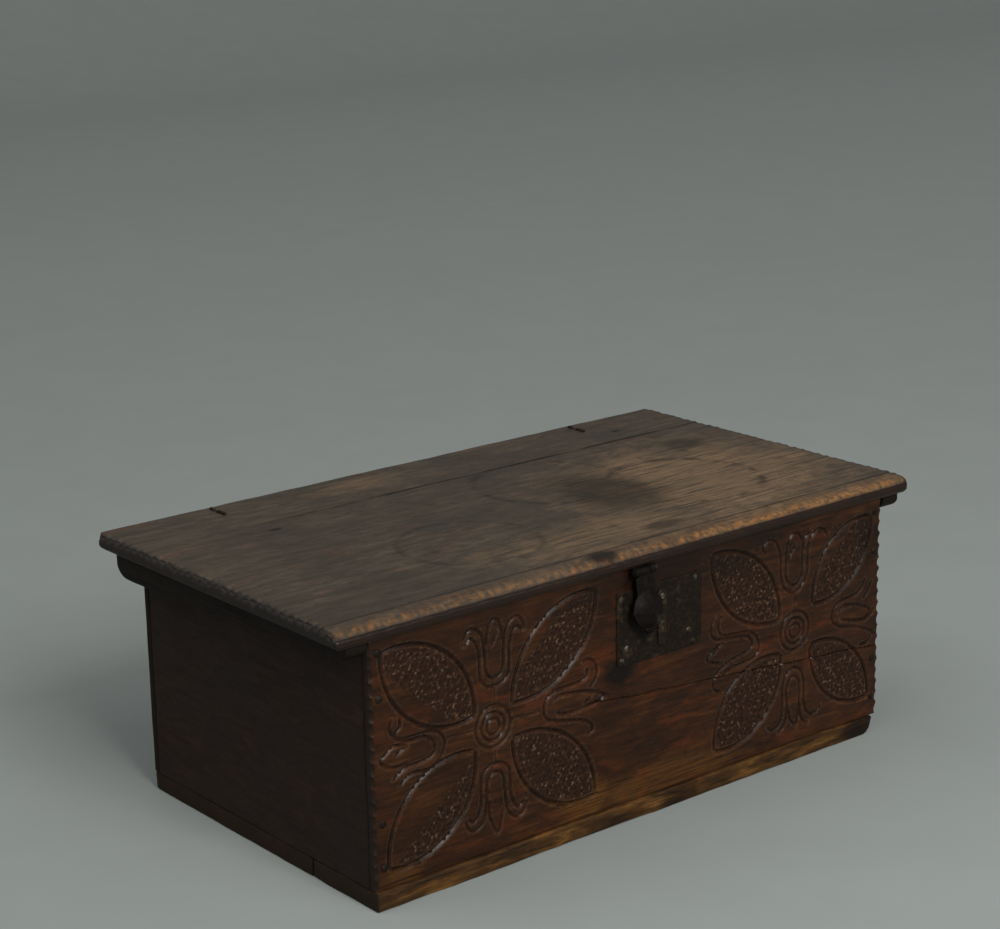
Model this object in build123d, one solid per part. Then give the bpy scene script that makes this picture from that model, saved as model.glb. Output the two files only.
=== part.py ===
from build123d import *
from math import acos, asin, atan2, cos, degrees, hypot, radians, sin
import os

# Boarded oak bible box with a two-board lid on cotter (snipe-bill) hinges and an iron
# hasp lock. +X runs to the right along the carved front, +Y to the back, +Z up.
# The origin is the middle of the carcase's plan, on the underside of the base boards.

# ---------------------------------------------------------------- cutting and rounding
pass_through = 1.0  # mm that a cutting shape runs past the faces it opens
fillet_share = 0.8  # the largest part of a wall that a fillet may take up

# ---------------------------------------------------------------- carcase (mm)
box_length = 620.0
box_depth = 354.0
wall_height = 224.0
front_thickness = 19.0
back_thickness = 19.0
end_thickness = 19.0
rebate_lip = 8.0
base_thickness = 18.0
base_proud = 2.4
front_base_width = 94.0
base_right_setback = 8.5
base_corner_radius = 9.0
board_gap = 0.4

# ---------------------------------------------------------------- lid (mm)
lid_thickness = 15.5
lid_side_overhang = 35.5
lid_front_overhang = 6.0
lid_back_overhang = 20.0
rear_lid_width = 81.0
thumb_width = 24.0
thumb_drop = 5.5
groove_width = 3.0
groove_depth = 1.6

# ---------------------------------------------------------------- cleats (mm)
cleat_width = 21.5
cleat_gap = 1.0
cleat_rear_depth = 26.0
cleat_front_depth = 14.0
cleat_front_inset = 5.0
cleat_rear_inset = 12.0
cleat_deep_length = 65.0
cleat_taper_length = 120.0
cleat_front_round = 11.0
cleat_rear_round = 16.0
cleat_taper_round = 200.0

# ---------------------------------------------------------------- cotter hinges (mm)
hinge_spacing = 450.0
hinge_wire = 1.5
hinge_eye = 5.5
hinge_drop = 7.5
hinge_behind = 3.0
loop_half_width = 4.5
loop_drop = 11.0
wire_bend = 2.9
leg_gap = 0.1
leg_root = 0.3
loop_clench = 14.0
lid_clench_front = 14.0
lid_clench_rear = 8.0
clench_sunk = 0.6
wire_clearance = 0.15
notch_clearance = 0.8

# ---------------------------------------------------------------- hasp and its strap (mm)
hasp_x = -9.5
hasp_neck_width = 22.0
hasp_thickness = 2.5
strap_width = 26.0
strap_thickness = 2.0
strap_reach = 63.0
strap_side_gap = 0.4
strap_under_gap = 0.2
strap_end_flat = 2.0
strap_window_land = 0.5
knuckle_radius = 3.8
hasp_pin_radius = 1.6
hasp_pin_clearance = 0.08
centre_knuckle_width = 11.0
knuckle_gap = 0.3
pin_drop = 4.2
pin_forward = 5.2
pin_head_radius = 2.6
pin_head_length = 1.2
pin_head_gap = 0.1
bulb_drop = 35.8
bulb_radius = 17.5
bulb_dome = 4.5
thumb_tab_width = 12.0
thumb_tab_drop = 4.5
thumb_tab_reach = 7.0
thumb_tab_root = 3.0
thumb_tab_turn_up = 1.75
thumb_tab_bend = 2.5
staple_width = 3.0
staple_wire = 1.8
loop_clearance = 0.5
swing_clearance = 0.4

# ---------------------------------------------------------------- lock plate and works (mm)
plate_width = 105.0
plate_height = 71.0
plate_x = 14.0
plate_below_rim = 20.5
plate_thickness = 1.2
plate_corner = 4.0
slot_width = 5.0
slot_clearance = 0.7
keyhole_x = 15.5
keyhole_below_bolt = 12.5
keyhole_radius = 3.2
keyhole_slit = 3.0
keyhole_drop = 11.0
mortise_depth = 12.0
mortise_margin = 4.0
bolt_height = 7.0
bolt_thickness = 2.0
bolt_length = 50.0
bolt_stroke = 10.0
bolt_tip_clearance = 2.5
bolt_running_gap = 0.3
tab_width = 3.0
tab_height = 5.0
tab_notch = 8.0
keeper_width = 3.5
keeper_wall = 1.5
keeper_inset = 0.6
spring_thickness = 0.8
spring_width = 2.0
spring_gap = 0.15
spring_foot = 4.0
spring_rise = 3.0
spring_tip_gap = 1.0
spring_tip_flat = 3.0
spring_tip_lift = 0.4
spring_foot_gap = 2.9
bridge_half_span = 13.0
bridge_wall = 1.5
bridge_stand_off = 9.0
bridge_height = 6.0
cover_width = 12.0
cover_tip_width = 9.0
cover_thickness = 1.6
cover_gap = 0.3
cover_hang = 47.0
cover_top_round = 5.6
rivet_radius = 1.5
rivet_head_radius = 3.2
rivet_head_height = 1.4
rivet_tail = 0.9
rivet_tail_radius = 2.4
washer_radius = 2.7

# ---------------------------------------------------------------- nails (mm)
nail_shank = 1.3
nail_tip = 0.6
nail_head = 4.2
nail_crown = 1.05
nail_rise = 1.6
nail_sides = 5
nail_hole_clearance = 0.1
nail_hole_spare = 0.5
corner_nail_length = 42.0
base_nail_length = 48.0
cleat_nail_length = 32.0
plate_nail_length = 12.0
strap_nail_length = 11.0
corner_nails_from_base = (20.0, 60.0)
corner_nails_from_rim = (53.0, 13.0)
base_nail_inset = 40.0
base_nails_long = 4
cleat_nail_front_inset = 43.0
cleat_nail_back_inset = 42.0
cleat_nail_x_inset = 26.5
strap_nails_from_front = (5.0, 25.0, 45.0)
plate_nails_from_left = ((5.5, 5.5), (12.0, 16.5), (5.5, 64.0))
plate_nails_from_right = ((11.5, 4.5), (17.0, 16.5), (9.0, 65.5))

# ---------------------------------------------------------------- derived places
half_length = box_length / 2
front_face = -box_depth / 2
back_face = box_depth / 2
rim = base_thickness + wall_height
lid_top = rim + lid_thickness
front_inside = front_face + front_thickness
back_inside = back_face - back_thickness
end_inside = half_length - end_thickness
end_front = front_face + rebate_lip
end_back = back_face - rebate_lip
base_front = front_face - base_proud
base_joint = front_face + front_base_width
lid_front = front_face - lid_front_overhang
lid_back = back_face + lid_back_overhang
lid_joint = lid_back - rear_lid_width
lid_end = half_length + lid_side_overhang
hinge_y = back_face + hinge_behind
hinge_z = rim - hinge_drop
hinge_places = {"left": -hinge_spacing / 2, "right": hinge_spacing / 2}
leg_offset = hinge_wire + leg_gap / 2
clench_z = lid_top + hinge_wire - clench_sunk
pin_y = front_face - pin_forward
pin_z = rim - pin_drop
plate_front = front_face - plate_thickness
bolt_front = front_face + bolt_running_gap
bolt_back = bolt_front + bolt_thickness
plate_left = plate_x - plate_width / 2
plate_right = plate_x + plate_width / 2
plate_top = rim - plate_below_rim
plate_bottom = plate_top - plate_height
bolt_z = pin_z - bulb_drop
bolt_tip = hasp_x + staple_width / 2 + bolt_tip_clearance
bolt_tail = bolt_tip + bolt_length
bolt_low = bolt_z - bolt_height / 2
bolt_high = bolt_z + bolt_height / 2
keyhole_z = bolt_low - keyhole_below_bolt
cover_pivot_z = bolt_high + bolt_running_gap + rivet_tail_radius
cover_tip_z = cover_pivot_z - cover_hang

# The hasp turns about its pin. Pressed in, its foot lies against the lock plate; at rest
# it stands out by the angle at which the staple's upper corner has just left the plate.
foot_drop = bulb_drop + bulb_radius
staple_half_gap = bolt_height / 2 + loop_clearance
staple_half_height = staple_half_gap + staple_wire
press_depth = pin_forward - plate_thickness - bolt_running_gap - hasp_thickness / 2
press_angle = asin(press_depth / foot_drop)
staple_bar = (bolt_back + swing_clearance - pin_y
              - (bulb_drop - staple_half_gap) * sin(press_angle)) / cos(press_angle)
staple_tip = staple_bar + staple_wire
staple_corner = bulb_drop - staple_half_height
clear_depth = pin_forward - plate_thickness - swing_clearance
rest_angle = (acos(clear_depth / hypot(staple_tip, staple_corner))
              - atan2(staple_corner, staple_tip))
slot_top = (pin_z - staple_corner * cos(press_angle)
            + staple_tip * sin(press_angle) + slot_clearance)
slot_bottom = (pin_z - (bulb_drop + staple_half_height) * cos(rest_angle)
               - staple_tip * sin(rest_angle) - slot_clearance)

# The lid stops where its rear overhang meets the back board.
overhang_reach = lid_back - hinge_y
lid_stop = degrees(acos(-(hinge_behind - board_gap) / hypot(overhang_reach, hinge_drop))
                   + atan2(hinge_drop, overhang_reach))


# ---------------------------------------------------------------- helpers
def block(x_low, x_high, y_low, y_high, z_low, z_high):
    """A box between two corners."""
    middle = Pos((x_low + x_high) / 2, (y_low + y_high) / 2, (z_low + z_high) / 2)
    return middle * Box(x_high - x_low, y_high - y_low, z_high - z_low)


def facing(point, outward):
    """A plane at a point whose +Z is the outward direction."""
    return Plane(origin=point, z_dir=outward)


def post(radius, low, high):
    """A cylinder on the Z axis from one height to another."""
    return Pos(0, 0, (low + high) / 2) * Cylinder(radius, high - low)


def rod(points, radius, bend=wire_bend):
    """A round wire along filleted straight runs."""
    path = FilletPolyline(*points, radius=bend)
    section = Plane(origin=path @ 0, z_dir=path % 0) * Circle(radius)
    return sweep(section, path=path)


def nail(length):
    """A hand-made nail: five-sided rose head above Z 0, tapered shank below."""
    flare = degrees(atan2(nail_head - nail_crown, nail_rise))
    head = extrude(RegularPolygon(nail_head, nail_sides), amount=nail_rise, taper=flare)
    shank = Pos(0, 0, -length / 2) * Cone(nail_tip, nail_shank, length)
    return head + shank


def nail_hole(length):
    """The hole that a nail's shank stands in, open at the head."""
    return post(nail_shank + nail_hole_clearance, -length - nail_hole_spare, nail_rise)


def sunk_hole(length):
    """A nail hole with a pocket that takes the head below the surface."""
    pocket = post(nail_head + nail_hole_clearance, 0, nail_rise + pass_through)
    return nail_hole(length) + pocket


def on_places(shape, places, outward):
    """Copies of a shape at several places, all facing the same way."""
    return [facing(place, outward) * shape for place in places]


def cut(body, tools):
    """A body with each tool taken out of it."""
    for tool in tools:
        body = body - tool
    return body


def save(name, *shapes):
    """Write the solids of one node to its STEP file."""
    solids = [solid for shape in shapes for solid in shape.solids()]
    node = solids[0] if len(solids) == 1 else Compound(children=solids)
    node.label = name
    export_step(node, f"parts/{name}.step")


# ---------------------------------------------------------------- nail places
def corner_places(side, face):
    """Where the front or back board is nailed to an end board."""
    x = side * (half_length - end_thickness / 2)
    heights = [base_thickness + height for height in corner_nails_from_base]
    heights += [rim - drop for drop in corner_nails_from_rim]
    return [(x, face, z) for z in heights]


def base_places(front_board_side):
    """Where the base boards are nailed up into the walls."""
    reach = half_length - end_thickness - base_nail_inset
    step = 2 * reach / (base_nails_long - 1)
    row = front_face + front_thickness / 2 if front_board_side else back_face - back_thickness / 2
    places = [(-reach + i * step, row, nail_rise) for i in range(base_nails_long)]
    if not front_board_side:
        x = half_length - end_thickness / 2
        middle = (base_joint + back_face) / 2
        places += [(-x, middle, nail_rise), (x, middle, nail_rise)]
    return places


def cleat_nail_points(side):
    """Where a cleat is nailed down through the lid, heads flush with the top."""
    x = side * (lid_end - cleat_nail_x_inset)
    front = lid_front + cleat_nail_front_inset
    back = lid_back - cleat_nail_back_inset
    return [(x, y, lid_top - nail_rise) for y in (front, (front + back) / 2, back)]


def strap_nail_points():
    """Where the hasp strap is nailed up into the lid."""
    return [(hasp_x, front_inside + inset, rim - strap_thickness) for inset in strap_nails_from_front]


def plate_nail_points():
    """Where the lock plate is nailed to the front board."""
    places = [(plate_left + inset, plate_bottom + height) for inset, height in plate_nails_from_left]
    places += [(plate_right - inset, plate_bottom + height) for inset, height in plate_nails_from_right]
    return [(x, plate_front, z) for x, z in places]


# ---------------------------------------------------------------- hinge wires
def lid_cotter(x, swell=0.0):
    """The lid's cotter: an eye round the hinge axis and two legs clenched on the lid."""
    radius = hinge_wire + swell
    eye = Plane(origin=(x, hinge_y, hinge_z), z_dir=(1, 0, 0)) * Torus(hinge_eye, radius)
    start = hinge_z + hinge_eye - leg_root
    front_leg = hinge_y - leg_offset
    rear_leg = hinge_y + leg_offset
    front = [(x, front_leg, start), (x, front_leg, clench_z),
             (x, front_leg - lid_clench_front, clench_z)]
    rear = [(x, rear_leg, start), (x, rear_leg, clench_z),
            (x, rear_leg + lid_clench_rear, clench_z)]
    return eye + rod(front, radius) + rod(rear, radius)


def back_loop(x, swell=0.0):
    """The back board's loop: a bar on the hinge axis, its ends clenched inside the box."""
    low = hinge_z - loop_drop
    inside = back_inside - hinge_wire + clench_sunk
    left = x - loop_half_width
    right = x + loop_half_width
    points = [(left - loop_clench, inside, low), (left, inside, low), (left, hinge_y, low),
              (left, hinge_y, hinge_z), (right, hinge_y, hinge_z), (right, hinge_y, low),
              (right, inside, low), (right + loop_clench, inside, low)]
    return rod(points, hinge_wire + swell)


# ---------------------------------------------------------------- carcase boards
def front_board():
    """The front, rebated over the end boards and let in for the lock and the strap."""
    board = block(-half_length, half_length, front_face, front_inside, base_thickness, rim)
    rebates = [block(end_inside, half_length, end_front, front_inside, base_thickness, rim),
               block(-half_length, -end_inside, end_front, front_inside, base_thickness, rim)]
    mortise = block(hasp_x - staple_width / 2 - bolt_stroke - mortise_margin,
                    bolt_tail + mortise_margin, front_face, front_face + mortise_depth,
                    keyhole_z - keyhole_drop - mortise_margin,
                    bolt_high + spring_rise + 2 * spring_thickness + mortise_margin)
    half_bed = strap_width / 2 + strap_side_gap
    strap = block(hasp_x - half_bed, hasp_x + half_bed, front_face, front_inside,
                  rim - strap_thickness - strap_under_gap, rim)
    tools = rebates + [mortise, strap]
    for side in (-1, 1):
        tools += on_places(nail_hole(corner_nail_length), corner_places(side, front_face), (0, -1, 0))
    tools += on_places(nail_hole(base_nail_length), base_places(True), (0, 0, -1))
    tools += on_places(nail_hole(plate_nail_length), plate_nail_points(), (0, -1, 0))
    return cut(board, tools)


def back_board():
    """The back, rebated over the end boards and notched for the hinge eyes."""
    board = block(-half_length, half_length, back_inside, back_face, base_thickness, rim)
    tools = [block(end_inside, half_length, back_inside, end_back, base_thickness, rim),
             block(-half_length, -end_inside, back_inside, end_back, base_thickness, rim)]
    eye_reach = hinge_eye + hinge_wire + notch_clearance
    for x in hinge_places.values():
        tools.append(block(x - hinge_wire - notch_clearance, x + hinge_wire + notch_clearance,
                           hinge_y - eye_reach, back_face, hinge_z - eye_reach, rim))
        tools.append(back_loop(x, wire_clearance))
    for side in (-1, 1):
        tools += on_places(nail_hole(corner_nail_length), corner_places(side, back_face), (0, 1, 0))
    tools += on_places(nail_hole(base_nail_length), base_places(False), (0, 0, -1))
    return cut(board, tools)


def end_board(side):
    """An end board, its ends covered by the lips of the front and back."""
    inner, outer = sorted((side * end_inside, side * half_length))
    board = block(inner, outer, end_front, end_back, base_thickness, rim)
    tools = on_places(nail_hole(corner_nail_length), corner_places(side, front_face), (0, -1, 0))
    tools += on_places(nail_hole(corner_nail_length), corner_places(side, back_face), (0, 1, 0))
    tools += on_places(nail_hole(base_nail_length), base_places(False), (0, 0, -1))
    return cut(board, tools)


def base_front_board():
    """The narrow base board, standing proud in front, its right corner worn away."""
    right = half_length - base_right_setback
    board = block(-half_length, right, base_front, base_joint - board_gap, 0, base_thickness)
    corner = board.edges().filter_by(Axis.Y).sort_by(lambda e: e.center().X - e.center().Z)[-1]
    board = fillet(corner, min(base_corner_radius, fillet_share * base_thickness))
    return cut(board, on_places(sunk_hole(base_nail_length), base_places(True), (0, 0, -1)))


def base_rear_board():
    """The wide base board."""
    board = block(-half_length, half_length, base_joint, back_face, 0, base_thickness)
    return cut(board, on_places(sunk_hole(base_nail_length), base_places(False), (0, 0, -1)))


# ---------------------------------------------------------------- lid
def lid_front_board():
    """The wide lid board with a scratched groove and a thumbnail edge along the front."""
    shoulder = lid_front + thumb_width
    edge = EllipticalCenterArc((shoulder, lid_top - thumb_drop), thumb_width, thumb_drop,
                               start_angle=90, arc_size=90)
    rest = Polyline((shoulder, lid_top), (lid_joint - board_gap, lid_top),
                    (lid_joint - board_gap, rim), (lid_front, rim), (lid_front, lid_top - thumb_drop))
    profile = Plane.YZ * make_face(edge + rest)
    board = extrude(profile, amount=lid_end, both=True)
    groove = block(-lid_end, lid_end, shoulder, shoulder + groove_width,
                   lid_top - groove_depth, lid_top + pass_through)
    tools = [groove] + lid_nail_holes()
    return cut(board, tools)


def lid_nail_holes():
    """Every nail hole in the lid."""
    holes = []
    for side in (-1, 1):
        holes += on_places(sunk_hole(cleat_nail_length), cleat_nail_points(side), (0, 0, 1))
    return holes + on_places(nail_hole(strap_nail_length), strap_nail_points(), (0, 0, -1))


def lid_rear_board():
    """The narrow lid board that carries the hinge cotters."""
    board = block(-lid_end, lid_end, lid_joint, lid_back, rim, lid_top)
    tools = lid_nail_holes()
    tools += [lid_cotter(x, wire_clearance) for x in hinge_places.values()]
    return cut(board, tools)


def cleat(side):
    """A batten under a lid end, deep and rounded at the back, shallow along the front."""
    front = lid_front + cleat_front_inset
    back = lid_back - cleat_rear_inset
    shallow = rim - cleat_front_depth
    deep = rim - cleat_rear_depth
    step_end = back - cleat_deep_length
    step_start = step_end - cleat_taper_length
    outline = FilletPolyline((front, rim), (front, shallow), (step_start, shallow),
                             (step_end, deep), (back, deep), (back, rim),
                             radius=(0, cleat_front_round, cleat_taper_round, cleat_taper_round,
                                     cleat_rear_round, 0), close=True)
    inner = side * (half_length + cleat_gap)
    batten = extrude(Plane.YZ * make_face(outline), amount=cleat_width)
    batten = Pos(inner if side > 0 else inner - cleat_width, 0, 0) * batten
    return cut(batten, on_places(sunk_hole(cleat_nail_length), cleat_nail_points(side), (0, 0, 1)))


# ---------------------------------------------------------------- hasp
def pin_line(x):
    """A plane on the pin's axis at x, whose +Z runs along the pin."""
    return Plane(origin=(x, pin_y, pin_z), x_dir=(0, 0, -1), z_dir=(1, 0, 0))


def knuckle(x_low, x_high):
    """A knuckle on the hasp's pin line, before its bore."""
    return pin_line(0) * post(knuckle_radius, x_low, x_high)


def pin_bore():
    """The running bore along the pin line."""
    return pin_line(hasp_x) * post(hasp_pin_radius + hasp_pin_clearance, -strap_width, strap_width)


def hasp_strap():
    """The strap under the lid, its outer knuckles in front of the box."""
    left = hasp_x - strap_width / 2
    right = hasp_x + strap_width / 2
    strap = block(left, right, pin_y, front_inside + strap_reach, rim - strap_thickness, rim)
    ends = strap.edges().filter_by(Axis.Z).sort_by(Axis.Y)[-2:]
    strap = fillet(ends, (strap_width - strap_end_flat) / 2)
    gap = centre_knuckle_width / 2 + knuckle_gap
    strap += knuckle(left, hasp_x - gap) + knuckle(hasp_x + gap, right)
    past_knuckle = knuckle_radius + pass_through
    window = block(hasp_x - gap, hasp_x + gap, pin_y - past_knuckle,
                   front_face - strap_window_land, pin_z - past_knuckle, rim)
    strap = strap - window - pin_bore()
    return cut(strap, on_places(nail_hole(strap_nail_length), strap_nail_points(), (0, 0, -1)))


def hasp_pin():
    """The pin through strap and hasp, headed at both ends."""
    half = strap_width / 2 + pin_head_gap
    pin = post(hasp_pin_radius, -half, half)
    heads = post(pin_head_radius, half, half + pin_head_length)
    heads += post(pin_head_radius, -half - pin_head_length, -half)
    return pin_line(hasp_x) * (pin + heads)


def swung(shape):
    """A shape of the hasp, turned from hanging plumb to its place at rest."""
    return shape.rotate(Axis((0, pin_y, pin_z), (-1, 0, 0)), degrees(rest_angle))


def hasp():
    """The hasp: knuckle, neck, domed bulb and an upturned thumb tab."""
    back = pin_y + hasp_thickness / 2
    front = pin_y - hasp_thickness / 2
    half_knuckle = centre_knuckle_width / 2
    shoulder = pin_z - knuckle_radius - knuckle_gap - swing_clearance
    bulb_z = pin_z - bulb_drop
    shape = knuckle(hasp_x - half_knuckle, hasp_x + half_knuckle)
    shape += block(hasp_x - half_knuckle, hasp_x + half_knuckle, front, back, bulb_z, pin_z)
    shape += block(hasp_x - hasp_neck_width / 2, hasp_x + hasp_neck_width / 2,
                   front, back, bulb_z, shoulder)
    disc = facing((hasp_x, back, bulb_z), (0, -1, 0)) * post(bulb_radius, 0, hasp_thickness)
    dome_radius = (bulb_radius ** 2 + bulb_dome ** 2) / (2 * bulb_dome)
    dome = Pos(0, 0, bulb_dome - dome_radius) * Sphere(dome_radius)
    dome = dome & post(bulb_radius, 0, bulb_dome)
    shape += disc + facing((hasp_x, front, bulb_z), (0, -1, 0)) * dome
    low = bulb_z - bulb_radius - thumb_tab_drop
    tab_line = FilletPolyline((0, pin_y, bulb_z - bulb_radius + thumb_tab_root), (0, pin_y, low),
                              (0, front - thumb_tab_reach, low + thumb_tab_turn_up),
                              radius=thumb_tab_bend)
    section = Plane(origin=tab_line @ 0, x_dir=(1, 0, 0), z_dir=tab_line % 0)
    tab = sweep(section * Rectangle(thumb_tab_width, hasp_thickness), path=tab_line)
    shape += Pos(hasp_x, 0, 0) * tab
    return swung(shape - pin_bore())


def hasp_staple():
    """The staple on the hasp's back that the bolt passes through."""
    back = pin_y + hasp_thickness / 2
    left = hasp_x - staple_width / 2
    right = hasp_x + staple_width / 2
    bulb_z = pin_z - bulb_drop
    outer = block(left, right, back, pin_y + staple_tip,
                  bulb_z - staple_half_height, bulb_z + staple_half_height)
    inner = block(left - pass_through, right + pass_through, back - pass_through,
                  pin_y + staple_bar, bulb_z - staple_half_gap, bulb_z + staple_half_gap)
    nose = outer.edges().filter_by(Axis.X).sort_by(Axis.Y)[-2:]
    return swung(fillet(nose, fillet_share * staple_wire) - inner)


# ---------------------------------------------------------------- lock
def lock_plate():
    """The iron plate on the front, pierced for the staple, the key, nails and rivets."""
    plate = block(plate_left, plate_right, plate_front, front_face, plate_bottom, plate_top)
    plate = fillet(plate.edges().filter_by(Axis.Y), plate_corner)
    outside = plate_front - pass_through
    inside = front_face + pass_through
    through = -plate_thickness - pass_through
    slot = block(hasp_x - slot_width / 2, hasp_x + slot_width / 2, outside, inside,
                 slot_bottom, slot_top)
    keyhole = facing((keyhole_x, plate_front, keyhole_z), (0, -1, 0))
    slit = block(keyhole_x - keyhole_slit / 2, keyhole_x + keyhole_slit / 2, outside, inside,
                 keyhole_z - keyhole_drop, keyhole_z)
    tools = [slot, slit, keyhole * post(keyhole_radius, through, pass_through)]
    tools += [cover_plane() * post(rivet_radius + wire_clearance, through, pass_through)]
    tools += on_places(nail_hole(plate_nail_length), plate_nail_points(), (0, -1, 0))
    return cut(plate, tools)


def cover_plane():
    """The plane on the plate's face at the keyhole cover's pivot."""
    return facing((keyhole_x, plate_front, cover_pivot_z), (0, -1, 0))


def keyhole_cover():
    """The drop that hangs over the keyhole."""
    outer = plate_front - cover_gap - cover_thickness
    top = cover_pivot_z + cover_top_round
    half = cover_width / 2
    tip = cover_tip_width / 2
    outline = FilletPolyline((keyhole_x - half, top), (keyhole_x + half, top),
                             (keyhole_x + tip, cover_tip_z), (keyhole_x - tip, cover_tip_z),
                             radius=[fillet_share * width for width in (half, half, tip, tip)],
                             close=True)
    drop = extrude(Plane(origin=(0, outer, 0), x_dir=(1, 0, 0), z_dir=(0, -1, 0))
                   * make_face(outline), amount=-cover_thickness)
    bore = post(rivet_radius + hasp_pin_clearance, 0, cover_gap + cover_thickness + pass_through)
    return drop - cover_plane() * bore


def keyhole_cover_rivet():
    """The rivet that the cover turns on."""
    shank_top = cover_gap + cover_thickness + cover_gap
    shank = post(rivet_radius, -plate_thickness - rivet_tail, shank_top)
    head = post(rivet_head_radius, shank_top, shank_top + rivet_head_height)
    head = fillet(head.edges().sort_by(Axis.Z)[-1], fillet_share * rivet_head_height)
    washer = post(washer_radius, 0, cover_gap / 2)
    tail = post(rivet_tail_radius, -plate_thickness - rivet_tail, -plate_thickness)
    return cover_plane() * (shank + head + washer + tail)


def lock_bolt():
    """The sliding bolt, with two tabs for the key below it."""
    bolt = block(bolt_tip, bolt_tail, bolt_front, bolt_back, bolt_low, bolt_high)
    notch_middle = keyhole_x + bolt_stroke / 2
    for side in (-1, 1):
        middle = notch_middle + side * (tab_notch + tab_width) / 2
        bolt += block(middle - tab_width / 2, middle + tab_width / 2, bolt_front, bolt_back,
                      bolt_low - tab_height, bolt_low)
    nose = bolt.edges().filter_by(Axis.Z).sort_by(Axis.X)[:2]
    return fillet(nose, fillet_share * bolt_thickness / 2)


def bolt_keeper(x_low):
    """A bridge behind the plate that the bolt runs in."""
    gap = bolt_running_gap
    outer = block(x_low, x_low + keeper_width, front_face, bolt_back + gap + keeper_wall,
                  bolt_low - gap - keeper_wall, bolt_high + gap + keeper_wall)
    inner = block(x_low - pass_through, x_low + keeper_width + pass_through,
                  front_face - pass_through, bolt_back + gap, bolt_low - gap, bolt_high + gap)
    return outer - inner


def bolt_spring():
    """The leaf that presses on the bolt's top edge, riveted to the plate at its foot."""
    low = bolt_high + spring_gap
    high = low + spring_rise
    foot_end = bolt_tail - keeper_width - spring_foot_gap
    foot_start = foot_end - spring_foot
    tip = keyhole_x + rivet_tail_radius + spring_tip_gap
    lower = [(tip, low + spring_tip_lift), (tip + spring_tip_flat, low),
             (foot_start, high), (foot_end, high)]
    upper = [(x, z + spring_thickness) for x, z in reversed(lower)]
    face = Plane(origin=(0, front_face, 0), x_dir=(1, 0, 0), z_dir=(0, -1, 0))
    return extrude(face * make_face(Polyline(*lower, *upper, close=True)), amount=-spring_width)


def ward_bridge():
    """The bridge behind the keyhole that guides the key."""
    left = keyhole_x - bridge_half_span
    right = keyhole_x + bridge_half_span
    low = keyhole_z - bridge_height / 2
    high = keyhole_z + bridge_height / 2
    outer = block(left, right, front_face, front_face + bridge_stand_off + bridge_wall, low, high)
    inner = block(left + bridge_wall, right - bridge_wall, front_face - pass_through,
                  front_face + bridge_stand_off, low - pass_through, high + pass_through)
    return outer - inner


# ---------------------------------------------------------------- write every node
def main():
    """Build each piece and write it to its own file."""
    os.makedirs("parts", exist_ok=True)
    corner_nail = nail(corner_nail_length)
    base_nail = nail(base_nail_length)
    cleat_nail = nail(cleat_nail_length)
    save("front_board", front_board())
    save("back_board", back_board())
    save("bottom_board_front", base_front_board())
    save("bottom_board_rear", base_rear_board())
    save("lid_board", lid_front_board())
    save("lid_rear_board", lid_rear_board())
    for name, side in (("left", -1), ("right", 1)):
        save(f"{name}_end", end_board(side))
        save(f"{name}_cleat", cleat(side))
        save(f"{name}_hinge_upper", lid_cotter(hinge_places[name]))
        save(f"{name}_hinge_lower", back_loop(hinge_places[name]))
        save(f"front_nails_{name}", *on_places(corner_nail, corner_places(side, front_face), (0, -1, 0)))
        save(f"back_nails_{name}", *on_places(corner_nail, corner_places(side, back_face), (0, 1, 0)))
        save(f"{name}_cleat_nails", *on_places(cleat_nail, cleat_nail_points(side), (0, 0, 1)))
    save("bottom_nails", *on_places(base_nail, base_places(True) + base_places(False), (0, 0, -1)))
    save("hasp_strap", hasp_strap())
    save("hasp_strap_nails", *on_places(nail(strap_nail_length), strap_nail_points(), (0, 0, -1)))
    save("hasp_pin", hasp_pin())
    save("hasp", hasp())
    save("hasp_staple", hasp_staple())
    save("lock_plate", lock_plate())
    save("lock_plate_nails", *on_places(nail(plate_nail_length), plate_nail_points(), (0, -1, 0)))
    save("keyhole_cover", keyhole_cover())
    save("keyhole_cover_rivet", keyhole_cover_rivet())
    save("lock_bolt", lock_bolt())
    save("bolt_keeper_left", bolt_keeper(bolt_tip + keeper_inset))
    save("bolt_keeper_right", bolt_keeper(bolt_tail - keeper_width - keeper_inset))
    save("bolt_spring", bolt_spring())
    save("ward_bridge", ward_bridge())
    print(f"lid hinge at y {hinge_y:.2f} z {hinge_z:.2f}, stop {lid_stop:.1f} deg")
    print(f"hasp pin at y {pin_y:.2f} z {pin_z:.2f}, rest {degrees(rest_angle):.2f} deg,"
          f" pressed {degrees(press_angle):.2f} deg")
    print(f"cover pivot x {keyhole_x:.2f} z {cover_pivot_z:.2f}, bolt stroke {bolt_stroke:.2f}")
    print(f"slot z {slot_bottom:.2f} to {slot_top:.2f}, staple tip {staple_tip:.2f}, rim {rim:.2f}")


main()
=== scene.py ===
"""Looks for a boarded oak bible box with a carved front, a nicked lid and an iron hasp lock.

Every shape is worked out in millimetres in the part's own frame: +X to the right along the
carved front, +Y to the back, +Z up. A board is made in its own (u, v, w) frame, where u runs
along the grain, v across it, and w outwards from the show face, which lies at w = 0.
"""
import logging
import math
from dataclasses import dataclass, field
from enum import Enum
from typing import Sequence

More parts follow.
